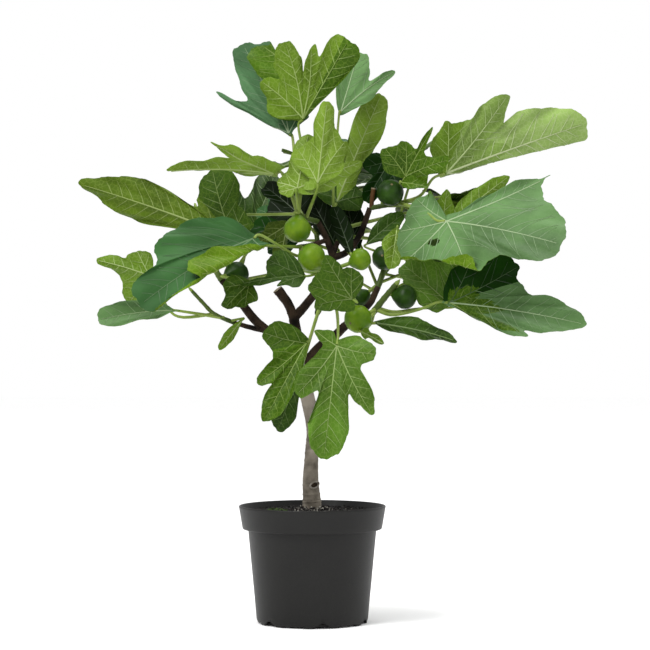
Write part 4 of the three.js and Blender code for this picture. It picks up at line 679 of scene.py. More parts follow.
def outline(row, length):
    """Rim about the stalk's end, in parts of the rib's length, with angles kept rising."""
    lobes = row["lobes"]
    rays = [list(ray) for ray in row.get("heelA") or [[-172, 0.05], default_heel(lobes[0], -1)]]
    for k, lobe in enumerate(lobes):
        angle, reach, half, sinus = lobe[:4]
        blunt = lobe[4] if len(lobe) > 4 else LOBE.blunt
        fat = lobe[5] if len(lobe) > 5 else LOBE.fat
        beside = lobes[k - 1][3] if k > 0 else 0
        nose = [(*point, 0) for point in lobe_nose(reach * length, blunt)]
        for part, across, facing in [(fat, -LOBE.fat_width, beside)] + nose + [(fat, LOBE.fat_width, sinus)]:
            x, y = reach * part, half * across
            if hypot(x, y) >= facing:
                rays.append([angle + np.degrees(np.arctan2(y, x)), hypot(x, y)])
        if k < len(lobes) - 1:
            following = lobes[k + 1]
            side_a = angle + np.degrees(np.arctan2(half, LOBE.waist * reach))
            side_b = following[0] - np.degrees(np.arctan2(following[2], LOBE.waist * following[1]))
            rays.append([(side_a + side_b) / 2, sinus])
    rays += [list(ray) for ray in row.get("heelB") or [default_heel(lobes[-1], 1), [172, 0.05]]]
    rising = [ray[0] for ray in rays]
    falling = list(rising)
    for k in range(1, len(rays)):
        rising[k] = max(rising[k], rising[k - 1] + BLADE.ray_gap)
    for k in range(len(rays) - 2, -1, -1):
        falling[k] = min(falling[k], falling[k + 1] - BLADE.ray_gap)
    angles = np.radians((np.array(rising) + np.array(falling)) / 2)
    radius = np.array([ray[1] for ray in rays])
    return np.stack([radius * np.cos(angles), radius * np.sin(angles)], 1)


class Leaf:
    """Blade and stalk of one leaf, by the rule of the solids, with finer forms on top."""

    def __init__(self, row, number):
        self.row, self.number = row, number
        self.foot = vec(row["foot"])
        chord = vec(row["tip"]) - self.foot
        self.along = unit(chord)
        face = vec(row["face"])
        self.up = unit(face - face.dot(self.along) * self.along)
        self.across = np.cross(self.up, self.along)
        self.arch = radians(row.get("bend", BLADE.bend))
        self.fold = radians(row.get("fold", BLADE.fold))
        self.length = np.linalg.norm(chord) * self.arch / 2 / sin(self.arch / 2)
        self.side, self.start, self.roll, self.widen = (*row.get("curl", (0, 0, 0)), 0)[:4]
        self.rim = outline(row, self.length)

    def place(self, u, v, lift=0.0):
        """Points of the blade at u along the rib and v across it, lifted off the middle surface."""
        u, v = np.asarray(u, float), np.asarray(v, float)
        turn = self.arch / 2 - self.arch * u
        x = self.length / self.arch * (sin(self.arch / 2) - np.sin(turn))
        z = self.length / self.arch * (np.cos(turn) - cos(self.arch / 2))
        tilt = self.fold
        if self.side == 0:
            y, height = np.abs(v) * cos(self.fold), np.abs(v) * sin(self.fold)
        else:
            stations = (np.arange(ROLL.stations) + 0.5).reshape(-1, *[1] * v.ndim) / ROLL.stations
            share = smooth_step((np.abs(v) * stations - (self.start + self.widen * u)) / ROLL.soft)
            slope = self.fold + np.where(np.sign(v) == self.side, radians(self.roll) * share, 0)
            y, height = np.abs(v) * np.cos(slope).mean(0), np.abs(v) * np.sin(slope).mean(0)
            tilt = slope[-1]
        wave = waves(BLADE.waves, np.arctan2(v, u), self.number)
        ripple = self.length * BLADE.ripple * (u * u + v * v) * wave
        off_rib = np.clip(np.abs(v) / 0.05, 0, 1)
        y = y - np.sin(tilt) * lift / self.length * off_rib
        height = height * self.length + np.cos(tilt) * lift + ripple
        return (self.foot + self.along * (x - np.sin(turn) * height)[..., None]
                + self.across * (y * np.sign(v) * self.length)[..., None]
                + self.up * (z + np.cos(turn) * height)[..., None])

    def roll_edge(self, points):
        """Rim of the solid's blade, which ends where a side rolls over."""
        if self.side == 0:
            return points
        out = points.copy()
        edge = self.start + ROLL.soft / 2
        for k, (u, v) in enumerate(points):
            if v * self.side > edge + self.widen * u:
                out[k] *= edge / (abs(v) - self.widen * u)
        return out

    def marks(self):
        """Points of the blade that the seeded rule keeps clear of."""
        inside = [self.roll_edge(self.rim * share) for share in (0.5, 1)]
        points = np.vstack([[[0, 0]], *inside])
        return self.place(points[:, 0], points[:, 1])

    def stalk_path(self):
        ends = self.place(np.array([STALK.meet, STALK.sink]), np.zeros(2))
        return [*self.row["stalk"], *ends.tolist()]

    def stalk_marks(self):
        return curve(self.stalk_path(), [0.25, 0.5, 0.75])

    def shadow(self):
        rim = self.roll_edge(self.rim)
        return seen(self.place(rim[:, 0], rim[:, 1]))


# ---------------------------------------------------------------- leaves of the seeded rule


def seen(points):
    """Where points stand in the view from the front."""
    far = (EYE.distance + points[:, 1]) / EYE.distance
    return np.stack([(points[:, 0] - EYE.x) / far, (points[:, 2] - EYE.z) / far], 1)


class Shadows:
    """Outlines of the leaves of the front, as seen from there."""

    def __init__(self, polygons):
        self.firsts = np.cumsum([0] + [len(polygon) for polygon in polygons[:-1]])
        self.starts = np.vstack(polygons).T[..., None]
        self.ends = np.vstack([np.roll(polygon, 1, 0) for polygon in polygons]).T[..., None]

    def hide(self, points):
        """Which points lie inside some outline: its edges to one side of the point are odd in number."""
        x, y = points.T
        (ax, ay), (bx, by) = self.starts, self.ends
        run = np.where(by == ay, 1, by - ay)
        crossed = ((ay > y) != (by > y)) & (x < (bx - ax) * (y - ay) / run + ax)
        return (np.add.reduceat(crossed, self.firsts, 0, dtype=int) % 2 == 1).any(0)


class Taken:
    """Spots that leaves and limbs take up, and the room that each needs."""

    def __init__(self):
        self.spots, self.rooms = np.empty((0, 3)), np.empty(0)

    def add(self, points, room):
        self.spots = np.vstack([self.spots, points])
        self.rooms = np.append(self.rooms, np.full(len(points), room))

    def add_leaf(self, leaf):
        self.add(leaf.marks(), ROOM.blade)
        self.add(leaf.stalk_marks(), ROOM.stalk)


def heading(azimuth, rise):
    a, r = radians(azimuth), radians(rise)
    return vec([-sin(a) * cos(r), cos(a) * cos(r), sin(r)])


def drawn_leaf(spiral, root, turn, share, numbers, number):
    """Leaf of the seeded rule, smaller and further to the side as the share of its tries grows."""
    swing = SPIRAL.swing * (1 + 2 * share)
    azimuth = spiral["heading"] + spiral["spread"] * turn + swing * (2 * next(numbers) - 1)
    rise = between(SPIRAL.rise, next(numbers))
    droop = between(SPIRAL.droop, next(numbers))
    stalk = between(SPIRAL.stalk, next(numbers))
    blade = between(SPIRAL.blade, share) * (0.9 + 0.2 * next(numbers))
    shape = SPIRAL_SHAPES[int(next(numbers) * len(SPIRAL_SHAPES))]
    foot = root + heading(azimuth, rise) * stalk
    tip = foot + heading(azimuth + SPIRAL.sway * (2 * next(numbers) - 1), rise - droop) * blade
    row = dict(shape, stalk=[root.tolist()], foot=foot, tip=tip, face=heading(azimuth, SPIRAL.face))
    return Leaf(row, number)


def has_room(leaf, root, taken, shadows):
    """Whether a leaf stays in the crown, behind the leaves of the front and clear of all that is there."""
    marks = leaf.marks()
    if (((marks - CROWN.centre) / CROWN.reach) ** 2).sum(1).max() >= 1:
        return False
    if marks[:, 1].min() <= SPIRAL.behind:
        return False
    rim = leaf.shadow()
    stalks = leaf.stalk_marks()
    if shadows.hide(rim).sum() < SPIRAL.hidden * len(rim) or not shadows.hide(seen(stalks[1:])).all():
        return False
    if (np.linalg.norm(marks[:, None] - taken.spots, axis=2) <= ROOM.blade + taken.rooms).any():
        return False
    far = np.linalg.norm(taken.spots - root, axis=1) >= SPIRAL.near_stem
    spots, rooms = taken.spots[far], taken.rooms[far]
    return not (np.linalg.norm(stalks[:, None] - spots, axis=2) <= ROOM.stalk + rooms).any()


def add_spiral(mass, taken, shadows, numbers, first_number):
    """Leaves round the stem of a mass where there is room behind the leaves of the front."""
    added = []
    count = mass["spiral"]["count"]
    for k in range(count):
        root = curve(mass["stem"], SPIRAL.first + SPIRAL.run * (k + 1) / count)
        turn = ((k * SPIRAL.turn + 90) % 360) / 180 - 1
        for attempt in range(SPIRAL.tries):
            share = attempt / SPIRAL.tries
            leaf = drawn_leaf(mass["spiral"], root, turn, share, numbers, first_number + len(added))
            if has_room(leaf, root, taken, shadows):
                added.append(leaf)
                taken.add_leaf(leaf)
                break
    return added


def grow_leaves():
    """All leaves by mass: those of the front, then those of the seeded rule."""
    taken = Taken()
    for row in LIMBS:
        taken.add(curve(row["path"], np.linspace(0, 1, 9)), ROOM.limb)
    number = 0
    for mass in MASSES:
        mass["grown"] = [Leaf(row, number + k) for k, row in enumerate(mass["leaves"])]
        number += len(mass["grown"])
        for leaf in mass["grown"]:
            taken.add_leaf(leaf)
        for fig in mass.get("figs", []):
            taken.add([vec(fig["at"])], fig["size"])
    shadows = Shadows([leaf.shadow() for mass in MASSES for leaf in mass["grown"]])
    numbers = seeded_numbers(SPIRAL.seed)
    for mass in MASSES:
        if "spiral" in mass:
            added = add_spiral(mass, taken, shadows, numbers, number)
            number += len(added)
            mass["grown"] += added


# ---------------------------------------------------------------- fine leaves


def fine_rim(leaf):
    """The rim as a smooth wavy line with small blunt teeth, as angle, radius and run along it."""
    rim, count = leaf.rim.copy(), len(leaf.rim)
    if leaf.side != 0:
        beyond = np.maximum(rim[:, 1] * leaf.side - (leaf.start + leaf.widen * rim[:, 0]), 0)
        rim[:, 1] += leaf.side * beyond * (leaf.row.get("flap", 1) - 1)
    lengths = np.linalg.norm(np.roll(rim, -1, 0) - rim, axis=1) * leaf.length
    points = []
    for k in range(count):
        corners = (rim[(k + j) % count] for j in (-1, 0, 1, 2))
        steps = int(np.clip(round(lengths[k] / RIM.step), *RIM.steps))
        points.append(spline(*corners, (np.arange(steps) / steps)[:, None]))
    points = np.vstack(points)
    angle = np.unwrap(np.arctan2(points[:, 1], points[:, 0]))
    angle = np.maximum.accumulate(angle + np.arange(len(angle)) * 1e-4)
    middle = radians(np.mean([lobe[0] for lobe in leaf.row["lobes"]]))
    angle -= 2 * pi * np.round((angle.mean() - middle) / 2 / pi)
    radius = np.hypot(points[:, 0], points[:, 1])
    run = np.cumsum(np.linalg.norm(np.diff(points, axis=0, prepend=points[:1]), axis=1)) * leaf.length
    teeth = sum(height * np.sin(run * 2 * pi / wave + (k + 1) * leaf.number)
                for k, (height, wave) in enumerate(RIM.teeth))
    radius = radius + teeth / leaf.length * np.clip(radius / RIM.toothless, 0, 1)
    return angle, radius, run


def at_way(way, angle, values):
    """Value of something known along the rim, in the direction way from the stalk's end."""
    return np.interp(angle[0] + (way - angle[0]) % (2 * pi), angle, values)


def leaf_relief(leaf, mains, angle, radius, run):
    """Height of the skin at (u, v): it bulges between the main veins and its margin ruffles."""
    lines = np.vstack([points for points, _, _ in mains]) if mains else np.zeros((1, 2))
    size = min(1, leaf.length / RUFFLE.full_length)

    def relief(u, v):
        gap = gap_to(np.stack([u.ravel(), v.ravel()], 1), lines).reshape(u.shape)
        way = np.arctan2(v, u)
        share = np.clip(np.hypot(u, v) / at_way(way, angle, radius), 0, 1)
        phase = at_way(way, angle, run) * 2 * pi / RUFFLE.wave + leaf.number
        return (RUFFLE.bulge * size * smooth_step(gap / RUFFLE.valley)
                + RUFFLE.height * size * share**2 * np.sin(phase))

    return relief


def main_veins(leaf, angle, radius):
    """The rib of each lobe that is long enough to have one, as (points, direction, reach)."""
    mains = []
    for lobe in leaf.row["lobes"]:
        if lobe[1] * leaf.length < VEIN.shortest_lobe:
            continue
        way = radians(lobe[0])
        reach = at_way(way, angle, radius) * VEIN.reach
        share = np.linspace(0, 1, VEIN.points)
        bow = VEIN.bow * np.sin(pi * share) * np.sign(lobe[0]) * reach
        points = np.stack([reach * share * cos(way) + bow * sin(way),
                           reach * share * sin(way) - bow * cos(way)], 1)
        mains.append((points, way, reach))
    return mains


def side_vein(base, lean, side, angle, radius):
    """A side vein from its base on a rib, as points, and where they are still inside the rim."""
    run = np.linspace(0, SIDE_VEIN.reach, VEIN.points)
    turn = lean - side * radians(SIDE_VEIN.bend) * run / SIDE_VEIN.reach
    step = np.diff(run, prepend=0)
    points = base + np.cumsum(np.stack([np.cos(turn), np.sin(turn)], 1) * step[:, None], 0)
    far = at_way(np.arctan2(points[:, 1], points[:, 0]), angle, radius)
    return points, np.hypot(points[:, 0], points[:, 1]) < far * SIDE_VEIN.rim


def vein_paths(leaf, mains, angle, radius):
    """Veins as (points, width at the start, width at the end), main ones first."""
    width = VEIN.width + leaf.length / VEIN.width_gain
    veins = [(points, width * (0.55 + 0.45 * reach), VEIN.end_width) for points, _, reach in mains]
    spacing = SIDE_VEIN.spacing / leaf.length
    for main, way, reach in mains:
        count = max(2, int(reach / spacing))
        for j, side in product(range(count), (-1, 1)):
            start = (j + 0.75 + 0.25 * side) / (count + 0.6)
            base = np.array([np.interp(start, np.linspace(0, 1, len(main)), main[:, c]) for c in (0, 1)])
            lean = way + side * radians(SIDE_VEIN.angle + SIDE_VEIN.sway * sin(3 * j + leaf.number))
            points, free = side_vein(base, lean, side, angle, radius)
            own = gap_to(points, main)
            for rival, _, _ in mains:
                if rival is not main:
                    free &= gap_to(points, rival[2:]) > own * SIDE_VEIN.rival
            stop = len(free) if free.all() else int(np.argmin(free))
            if stop >= SIDE_VEIN.fewest_points:
                veins.append((points[:stop], SIDE_VEIN.width, VEIN.end_width))
    return veins


def drape(parts, leaf, vein, gain, lift, material, relief):
    """A vein as a low ridge that follows the blade, on its upper side where the lift is up."""
    points, wide, narrow = vein
    ahead = unit(np.gradient(points, axis=0) + 1e-9)
    side = np.stack([-ahead[:, 1], ahead[:, 0]], 1)
    half = np.linspace(wide * gain, narrow, len(points))[:, None] / 2 / leaf.length
    low = relief(*points.T)
    strips = [leaf.place(*(points - side * half).T, low), leaf.place(*points.T, low + lift),
              leaf.place(*(points + side * half).T, low)]
    faces = grid_faces(3, len(points), False)
    parts.add(np.concatenate(strips), faces[:, ::-1] if lift > 0 else faces, material)


def in_hole(u, v, holes):
    """Which quads of the sheet lie in a hole, given as (u, v, half its length, half its width)."""
    u, v = ((grid[1:] + grid[:-1]) / 2 for grid in (u, v))
    u, v = ((grid + np.roll(grid, -1, 1)) / 2 for grid in (u, v))
    inside = np.zeros(u.shape, bool)
    for middle_u, middle_v, long, wide in holes:
        inside |= ((u - middle_u) / long) ** 2 + ((v - middle_v) / wide) ** 2 < 1
    return inside


def sheet_faces(angle, rings, zones, gone):
    """The quads of a leaf's sheet in groups of one tone: None for its own, or the tone of a zone that paints
    light and shade onto that part.
    """
    tone = np.full((rings - 1, len(angle)), -1)
    share = (np.arange(rings - 1) + 1.5)[:, None] / rings + waves(ZONE_WAVES, angle, 0)
    way = np.degrees((angle + pi) % (2 * pi) - pi)
    for k, (first, last, start, stop, _) in enumerate(zones):
        inner = (share >= start) | (start == 0)
        outer = (share < stop) | (stop == 1)
        tone[(way >= first) & (way <= last) & inner & outer] = k
    tone[gone] = len(zones)
    quads = grid_faces(rings, len(angle), True)
    for k in range(-1, len(zones)):
        chosen = quads[tone.ravel() == k]
        if len(chosen):
            yield chosen, None if k < 0 else zones[k][4]


def zone_tone(points, angle, radius, zones, own):
    """Tone of a vein: that of the zone it lies in, so the zone's painted light and shade lies on the vein
    too, or the leaf's own.
    """
    u, v = points[len(points) // 2]
    way = np.degrees(np.arctan2(v, u))
    share = hypot(u, v) / at_way(radians(way), angle, radius)
    for first, last, start, stop, tone in zones:
        if first <= way <= last and start <= share <= stop:
            own = tone
    return own


def fine_leaf(parts, leaf, looks):
    """Both sides of a leaf, its edge and its veins."""
    zones, holes = leaf.row.get("zones", []), leaf.row.get("holes", [])
    angle, radius, run = fine_rim(leaf)
    mains = main_veins(leaf, angle, radius)
    veins = vein_paths(leaf, mains, angle, radius)
    relief = leaf_relief(leaf, mains, angle, radius, run)
    rings = int(np.clip(leaf.length / RINGS.spacing, *RINGS.count))
    share = np.linspace(0, 1, rings + 1)[1:] ** 0.9
    u, v = (share[:, None] * (radius * way(angle)) for way in (np.cos, np.sin))
    gap = gap_to(np.stack([u.ravel(), v.ravel()], 1), np.vstack([points for points, *_ in veins]))
    skin = (QUILT.height * smooth_step(gap * leaf.length / QUILT.width)).reshape(u.shape) + relief(u, v)
    middle = leaf.place(np.zeros(1), np.zeros(1))
    columns = len(angle)
    fan = np.roll(fan_faces(columns, columns * rings), 1, 1)
    edges = []
    for side, tone in zip((1, -1), looks.split()):
        lift = side * BLADE.sheet / 2
        points = leaf.place(u, v, skin + lift)
        edges.append(points[-1])
        points = np.vstack([points.reshape(-1, 3), middle + leaf.up * lift])
        for quads, other in sheet_faces(angle, rings, zones, in_hole(u, v, holes)):
            parts.add(points, quads if side < 0 else quads[:, ::-1], SKINS[other or tone])
        parts.add(points, fan if side > 0 else fan[:, ::-1], SKINS[tone])
    parts.add(np.concatenate(edges), grid_faces(2, columns, True), SKINS[tone])
    for vein in veins:
        kind, colours = (VEIN, VEINS) if vein[1] > SIDE_VEIN.width else (SIDE_VEIN, SIDE_VEINS)
        for lift, gain, own in zip(kind.lifts, (1, VEIN.under_gain), looks.split()):
            tone = zone_tone(vein[0], angle, radius, zones, own)
            drape(parts, leaf, vein, gain, lift, colours[tone], relief)


def make_leaves():
    spare_looks = cycle(SPIRAL_LOOKS)
    for mass in MASSES:
        parts = Parts()
        for leaf in mass["grown"]:
            fine_leaf(parts, leaf, leaf.row.get("looks") or next(spare_looks))
        dress(parts.build("leaves_" + mass["name"].replace("foliage_", "")), mass["name"])


# ---------------------------------------------------------------- twigs and figs


def stem_relief(t, angle):
    """Five low rings along a stem, where leaves have been."""
    return 1 + 0.1 * np.exp(-(((t * 5) % 1 - 0.5) / 0.09) ** 2) + 0 * angle


def make_twigs():
    """Stems, stalks, buds and the pruned shoot, joined."""
    parts = Parts()
    for mass in MASSES:
        tube(parts, mass["stem"], mass["radii"], SHOOTS, sides=14, steps=20, relief=stem_relief)
        end = curve(mass["stem"], [0.97, 1.0])
        way = unit(end[1] - end[0])
        bud = [end[1] - way * BUD.sunk, end[1] + way * BUD.shoulder, end[1] + way * BUD.length]
        radii = [mass["radii"][-1] * BUD.foot_radius, mass["radii"][-1] * BUD.shoulder_radius, BUD.tip_radius]
        tube(parts, bud, radii, STALKS, sides=12, steps=8)
        if "stub" in mass:
            stub = mass["stub"]
            tube(parts, stub["path"], stub["radii"], RED_WOOD, sides=14, steps=12, cap=CUT)
            ends = curve(stub["path"], [0.93, 0.96, 1.0]) + vec([0, 0, 0.2])
            tube(parts, ends.tolist(), [stub["radii"][-1] * 1.08] * 2, CUT, sides=14, steps=3)
        for leaf in mass["grown"]:
            slim = min(1, STALK.slimmest + leaf.length / STALK.slim_length)
            radii = [STALK.root * slim * 1.1, STALK.root * slim * 0.8,
                     STALK.tip * slim * 0.9, STALK.tip * slim]
            tube(parts, leaf.stalk_path(), radii, STALKS, sides=9, steps=18)
    dress(parts.build("twigs"))


# Half outline of a fig from its eye to its neck, as (radius, place along its axis) in parts of its size.
FIG_PROFILE = [[0, -1], [0.12, -0.985], [0.5, -0.88], [0.8, -0.63], [0.93, -0.38], [1, 0.02], [0.94, 0.27],
               [0.8, 0.5], [0.6, 0.72], [0.42, 0.92], [0.2, 1.08], [0.1, 1.18]]
FIG = Sizes(rings=26, sides=36, eye_rings=2, ribs=9, rib_height=0.018, neck=1.1, stalk=(2.6, 2.4))


def add_fig(parts, row):
    at, size, root = vec(row["at"]), row["size"], vec(row["root"])
    way = unit(root - at)
    side = unit(np.cross(way, [0.3, 1, 0.2]))
    over = np.cross(way, side)
    share = np.linspace(0, 1, FIG.rings)
    line = curve(np.hstack([FIG_PROFILE, np.zeros((len(FIG_PROFILE), 1))]), share)
    angle = round_ring(FIG.sides)
    ribs = 1 + FIG.rib_height * np.cos(FIG.ribs * angle + size)[None, :] * np.sin(pi * share)[:, None]
    wide = np.maximum(line[:, :1], 0) * ribs * size
    points = (at + way * (line[:, 1:2] * size)[..., None]
              + side * (wide * np.cos(angle))[..., None] + over * (wide * np.sin(angle))[..., None])
    faces = grid_faces(FIG.rings, FIG.sides, True)
    eye = FIG.eye_rings * FIG.sides
    parts.add(points, faces[eye:], FIG_BRIGHT if row.get("bright") else FIG_DARK)
    parts.add(points, faces[:eye], FIG_EYE)
    tube(parts, [at + way * size * FIG.neck, root], FIG.stalk, STALKS, sides=12, steps=6)


def make_figs():
    parts = Parts()
    for mass in MASSES:
        for row in mass.get("figs", []):
            add_fig(parts, row)
    dress(parts.build("figs"))


# ---------------------------------------------------------------- bark


def bark_relief(seed, rings, rough):
    """Radius factor of a limb: shallow lumps, fine furrows, and the raised rings of old leaf scars."""
    local = np.random.default_rng(seed)
    spots = local.uniform(0.03, 0.97, rings)
    phases = local.uniform(0, 2 * pi, 6)

    def relief(t, angle):
        out = 1 + rough * (0.5 * np.sin(3 * angle + 7 * t + phases[0]) * np.sin(11 * t + phases[1])
                           + 0.35 * np.sin(5 * angle - 23 * t + phases[2])
                           + 0.3 * np.sin(9 * angle + 41 * t + phases[3]) * np.sin(67 * t + phases[4])
                           + 0.25 * np.sin(14 * angle + 97 * t + phases[5]))
        for spot in spots:
            ring = np.exp(-((t - spot) / 0.006) ** 2)
            out = out + rough * 1.1 * ring * (1 + 0.4 * np.cos(angle + 9 * spot))
        return out

    return relief


def make_knot():
    """The pale ring of a healed side shoot, low on the front of the trunk, round a dark middle."""
    parts = Parts()
    angle = np.linspace(0, 2 * pi, 25)
    for (long, wide, thick), material in ((KNOT.ring, PALE_BARK), (KNOT.middle, BOUGH)):
        x = KNOT.x + long * np.cos(angle)
        z = KNOT.z + wide * np.sin(angle) + KNOT.slope * long * np.cos(angle)
        y = -np.sqrt(np.maximum(KNOT.radius**2 - (x - KNOT.axis) ** 2, 1))
        tube(parts, np.stack([x, y, z], 1).tolist(), [thick, thick * 1.3, thick], material, sides=8, steps=36)
    dress(parts.build("bark_knot"))


TRUNK_BARK = Sizes(step=1.0, sides=44, rough=0.035, material=BARK)
BOUGH_BARK = Sizes(step=1.6, sides=22, rough=0.05, material=BOUGH)
SCAR_SPACING = 16


def make_bark():
    for k, row in enumerate(LIMBS):
        parts = Parts()
        bark = TRUNK_BARK if row["name"] == "trunk" else BOUGH_BARK
        run = np.linalg.norm(np.diff(vec(row["path"]), axis=0), axis=1).sum()
        relief = bark_relief(k + 3, max(2, int(run / SCAR_SPACING)), bark.rough)
        cap = CUT if row["name"] == "bough_centre_stub" else None
        tube(parts, row["path"], row["radii"], bark.material, bark.sides, int(run / bark.step), relief, cap)
        dress(parts.build("bark_" + row["name"]), row["name"])


# ---------------------------------------------------------------- pot


def pot_profile():
    """The pot's wall as (radius, height), from the middle of its underside round to that of its floor.

    Corners are rounded by points a few tenths of a millimetre off them.
    """
    step = POT.height - POT.collar_height
    slant = (POT.body - POT.base) / step
    body = [[POT.base + slant * z, z] for z in np.linspace(6, step - 1.2, 12)]
    collar = [[between([POT.collar, POT.rim], s), between([step, POT.height], s)]
              for s in np.linspace(0.06, 0.9, 6)]
    return [[0.01, 0], [POT.disc, 0], [POT.disc + 2, POT.lift], [POT.base - 1.5, POT.lift],
            [POT.base - 0.4, POT.lift + 0.6], [POT.base + 0.2, POT.lift + 2], *body,
            [POT.body - 0.1, step - 0.4], [POT.body + 0.6, step], [POT.collar - 0.9, step],
            [POT.collar - 0.1, step + 0.6], *collar, [POT.rim - 0.1, POT.height - 1.2],
            [POT.rim - 0.8, POT.height - 0.1], [POT.rim - 1.5, POT.height],
            [POT.rim - POT.lip + 0.6, POT.height - 0.1], [POT.rim - POT.lip, POT.height - 1],
            [POT.collar - POT.wall - 1, step + 2], [POT.body - POT.wall, step - 2],
            [POT.base + slant * POT.floor - POT.wall, POT.floor], [0.01, POT.floor]]


def cut_notches(pot):
    """Cuts the drainage notches out of the pot's foot."""
    count = NOTCH.sides
    arc = round_ring(count)
    for k in range(NOTCH.count):
        angle = radians(NOTCH.first_angle + 360 / NOTCH.count * k - 90)
        ring = [[POT.base + out * NOTCH.depth / 2, NOTCH.half_width * c, NOTCH.height * s]
                for out in (-1, 1) for c, s in zip(np.cos(arc), np.sin(arc))]
        ring = vec(ring) @ vec([[cos(angle), sin(angle), 0], [-sin(angle), cos(angle), 0], [0, 0, 1]])
        cutter = Parts()
        cutter.add(ring, grid_faces(2, count, True), PLASTIC)
        cutter.add(ring[:count], [list(range(count - 1, -1, -1))], PLASTIC)
        cutter.add(ring[count:], [list(range(count))], PLASTIC)
        tool = cutter.build("notch_tool", smooth=False)
        cut = pot.modifiers.new("notch", "BOOLEAN")
        cut.operation, cut.solver, cut.object = "DIFFERENCE", "EXACT", tool
        bpy.context.view_layer.objects.active = pot
        bpy.ops.object.modifier_apply(modifier=cut.name)
        bpy.data.objects.remove(tool)


def make_pot():
    parts = Parts()
    profile = vec(pot_profile())
    angle = round_ring(POT.segments)
    points = np.stack([profile[:, :1] * np.cos(angle), profile[:, :1] * np.sin(angle),
                       np.repeat(profile[:, 1:], POT.segments, 1)], 2)
    parts.add(points, grid_faces(len(profile), POT.segments, True), PLASTIC)
    pot = parts.build("pot_shell")
    cut_notches(pot)
    dress(pot, "pot")


def make_feet():
    """Two low pads beside each notch, rounded at their ends."""
    parts = Parts()
    share = np.linspace(-1, 1, FOOT.points)
    wide = share * FOOT.width / 2
    low = FOOT.edge * np.abs(share) ** 6
    outer = POT.base - FOOT.inset - wide**2 / 2 / POT.base
    section = ((FOOT.depth, low + 3), (FOOT.depth, low + 0.1), (2.6, low), (0.5, low), (0, low + 0.4),
               (-0.3, low + 3))
    for k, side in product(range(NOTCH.count), (-1, 1)):
        angle = radians(NOTCH.first_angle + 360 / NOTCH.count * k + side * FOOT.offset - 90)
        out, along = vec([cos(angle), sin(angle), 0]), vec([-sin(angle), cos(angle), 0])
        lines = [out * (outer - back)[:, None] + along * wide[:, None] + vec([0, 0, 1]) * height[:, None]
                 for back, height in section]
        parts.add(np.concatenate(lines), grid_faces(len(section), FOOT.points, False)[:, ::-1], PLASTIC)
    dress(parts.build("pot_feet"))


# ---------------------------------------------------------------- soil


def soil_height(x, y):
    base = np.interp(np.hypot(x, y), [0, SOIL.flat, SOIL.shoulder, POT.rim],
                     [SOIL.top, SOIL.top, SOIL.edge + SOIL.bulge, SOIL.edge])
    return base + 0.5 * np.sin(x / 3.1) * np.cos(y / 3.7) + 0.5 * np.sin(x / 7 + y / 5 + 1)


def lump(parts, x, y, lift, size, material):
    """A small rough crumb on the soil, an octahedron pushed about and squashed."""
    rough, squash = (0.7, 1.2), 0.7
    base = vec([[1, 0, 0], [-1, 0, 0], [0, 1, 0], [0, -1, 0], [0, 0, 1], [0, 0, -1]])
    faces = np.array([[0, 2, 4], [2, 1, 4], [1, 3, 4], [3, 0, 4], [2, 0, 5], [1, 2, 5], [3, 1, 5], [0, 3, 5]])
    turn = unit(rng.normal(size=(3, 3)))
    points = base @ turn * size * rng.uniform(*rough, (6, 1)) * vec([1, 1, squash])
    parts.add(points + vec([x, y, soil_height(x, y) + lift]), faces, material)


def at_turn(away, turn):
    return away * cos(turn), away * sin(turn)


def make_soil():
    parts = Parts()
    rings = np.linspace(0.3, POT.rim - POT.lip - 0.6, SOIL.rings)
    angle = round_ring(SOIL.segments)
    x, y = rings[:, None] * np.cos(angle), rings[:, None] * np.sin(angle)
    z = soil_height(x, y) + rng.normal(0, SOIL.grain, x.shape)
    parts.add(np.stack([x, y, z], 2), grid_faces(SOIL.rings, SOIL.segments, True), EARTH)
    dress(parts.build("soil_bed"), "soil")


# Numbers of crumbs of each kind, ranges of their sizes, and where they lie.
LOOSE = Sizes(count=1500, size=(0.8, 2.6), inset=7, sunk=0.25)
HEAP = Sizes(count=420, size=(0.9, 2.2), start=12, spread=8, top=6.5, slope=9, brown=0.9)
GRAINS = Sizes(count=90, size=(0.8, 1.9), spread=26, forward=-25, inset=8, sunk=0.6)
TUFT = Sizes(count=160, size=(0.8, 2.2), at=(-46, -58), spread=(6, 7), lift=(0.2, 8))


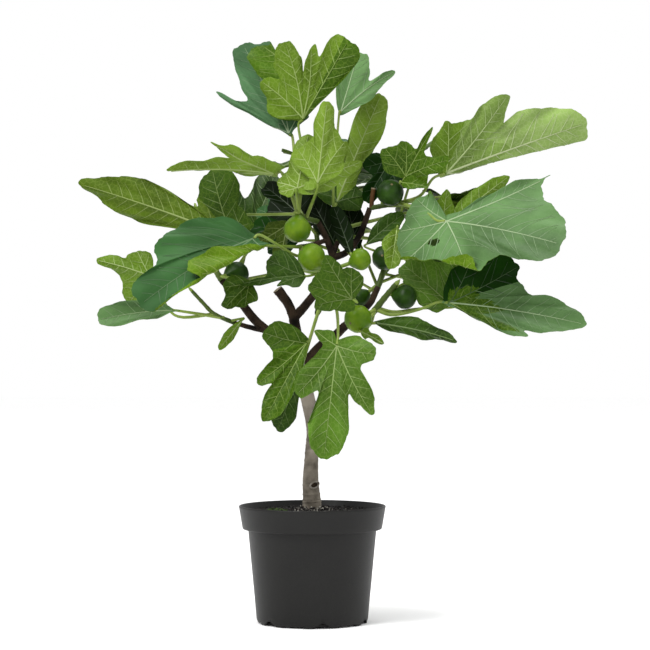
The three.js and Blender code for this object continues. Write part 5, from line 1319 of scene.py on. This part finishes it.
def make_crumbs():
    """Loose crumbs, a heap of them about the trunk's foot, white grains and a tuft of moss."""
    parts = Parts()
    for _ in range(LOOSE.count):
        away, turn = (POT.rim - LOOSE.inset) * np.sqrt(rng.uniform(0.02, 1)), rng.uniform(0, 2 * pi)
        size = rng.uniform(*LOOSE.size)
        lump(parts, *at_turn(away, turn), size * LOOSE.sunk, size, EARTH)
    for share in rng.uniform(0, 1, HEAP.count):
        away, turn = HEAP.start + abs(rng.normal(0, HEAP.spread)), rng.uniform(0, 2 * pi)
        lift = HEAP.top * share * np.exp((HEAP.start - away) / HEAP.slope)
        material = EARTH if share <= HEAP.brown else PERLITE
        lump(parts, *at_turn(away, turn), lift, rng.uniform(*HEAP.size), material)
    for _ in range(GRAINS.count):
        x, y = rng.normal(0, GRAINS.spread), rng.normal(GRAINS.forward, GRAINS.spread)
        if hypot(x, y) < POT.rim - GRAINS.inset:
            size = rng.uniform(*GRAINS.size)
            lump(parts, x, y, size * GRAINS.sunk, size, PERLITE)
    for _ in range(TUFT.count):
        x, y = (middle + rng.normal(0, spread) for middle, spread in zip(TUFT.at, TUFT.spread))
        lump(parts, x, y, rng.uniform(*TUFT.lift), rng.uniform(*TUFT.size), MOSS)
    dress(parts.build("soil_crumbs", smooth=False))


# ---------------------------------------------------------------- camera, floor and light

FLOOR_SIDE = 9000
WHITE = (0.985, 0.985, 0.985, 1)
LIGHT_TARGET = (0, 0, 0.42)

# name: place in metres, size, power
LIGHTS = {
    "key": [(-1.2, -1.5, 2.3), 1.0, 62],
    "fill": [(1.8, -1.4, 1.2), 1.6, 8],
    "top": [(0.3, 0.3, 2.6), 1.0, 30],
}


def add_object(name, data):
    made = bpy.data.objects.new(name, data)
    bpy.context.scene.collection.objects.link(made)
    return made


def make_camera():
    lens = bpy.data.cameras.new("camera")
    lens.sensor_fit = "HORIZONTAL"
    lens.angle = 2 * np.arctan2(CAMERA.half_picture, EYE.distance)
    camera = add_object("camera", lens)
    camera.location = (CAMERA.x * MM, -EYE.distance * MM, EYE.z * MM)
    camera.rotation_euler = (pi / 2, 0, 0)
    bpy.context.scene.camera = camera


def make_floor():
    white, _, _, shader = start_material("floor_white", 0.9)
    shader.inputs["Base Color"].default_value = WHITE
    parts = Parts()
    corners = [[x * FLOOR_SIDE, y * FLOOR_SIDE, 0] for x, y in ((-1, -1), (1, -1), (1, 1), (-1, 1))]
    parts.add(corners, [[0, 1, 2, 3]], white)
    parts.build("floor")


def make_lights():
    world = bpy.data.worlds.new("studio")
    bpy.context.scene.world = world
    world.use_nodes = True
    world.node_tree.nodes["Background"].inputs["Color"].default_value = (1, 1, 1, 1)
    world.node_tree.nodes["Background"].inputs["Strength"].default_value = 1.0
    for name, (place, size, power) in LIGHTS.items():
        light = bpy.data.lights.new(name, "AREA")
        light.energy, light.size = power, size
        lamp = add_object(name, light)
        lamp.location = place
        lamp.rotation_euler = (Vector(LIGHT_TARGET) - Vector(place)).to_track_quat("-Z", "Y").to_euler()


bpy.context.scene.view_settings.view_transform = "Standard"
make_camera()
make_floor()
make_lights()
grow_leaves()
make_leaves()
make_twigs()
make_figs()
make_bark()
make_knot()
make_pot()
make_feet()
make_soil()
make_crumbs()
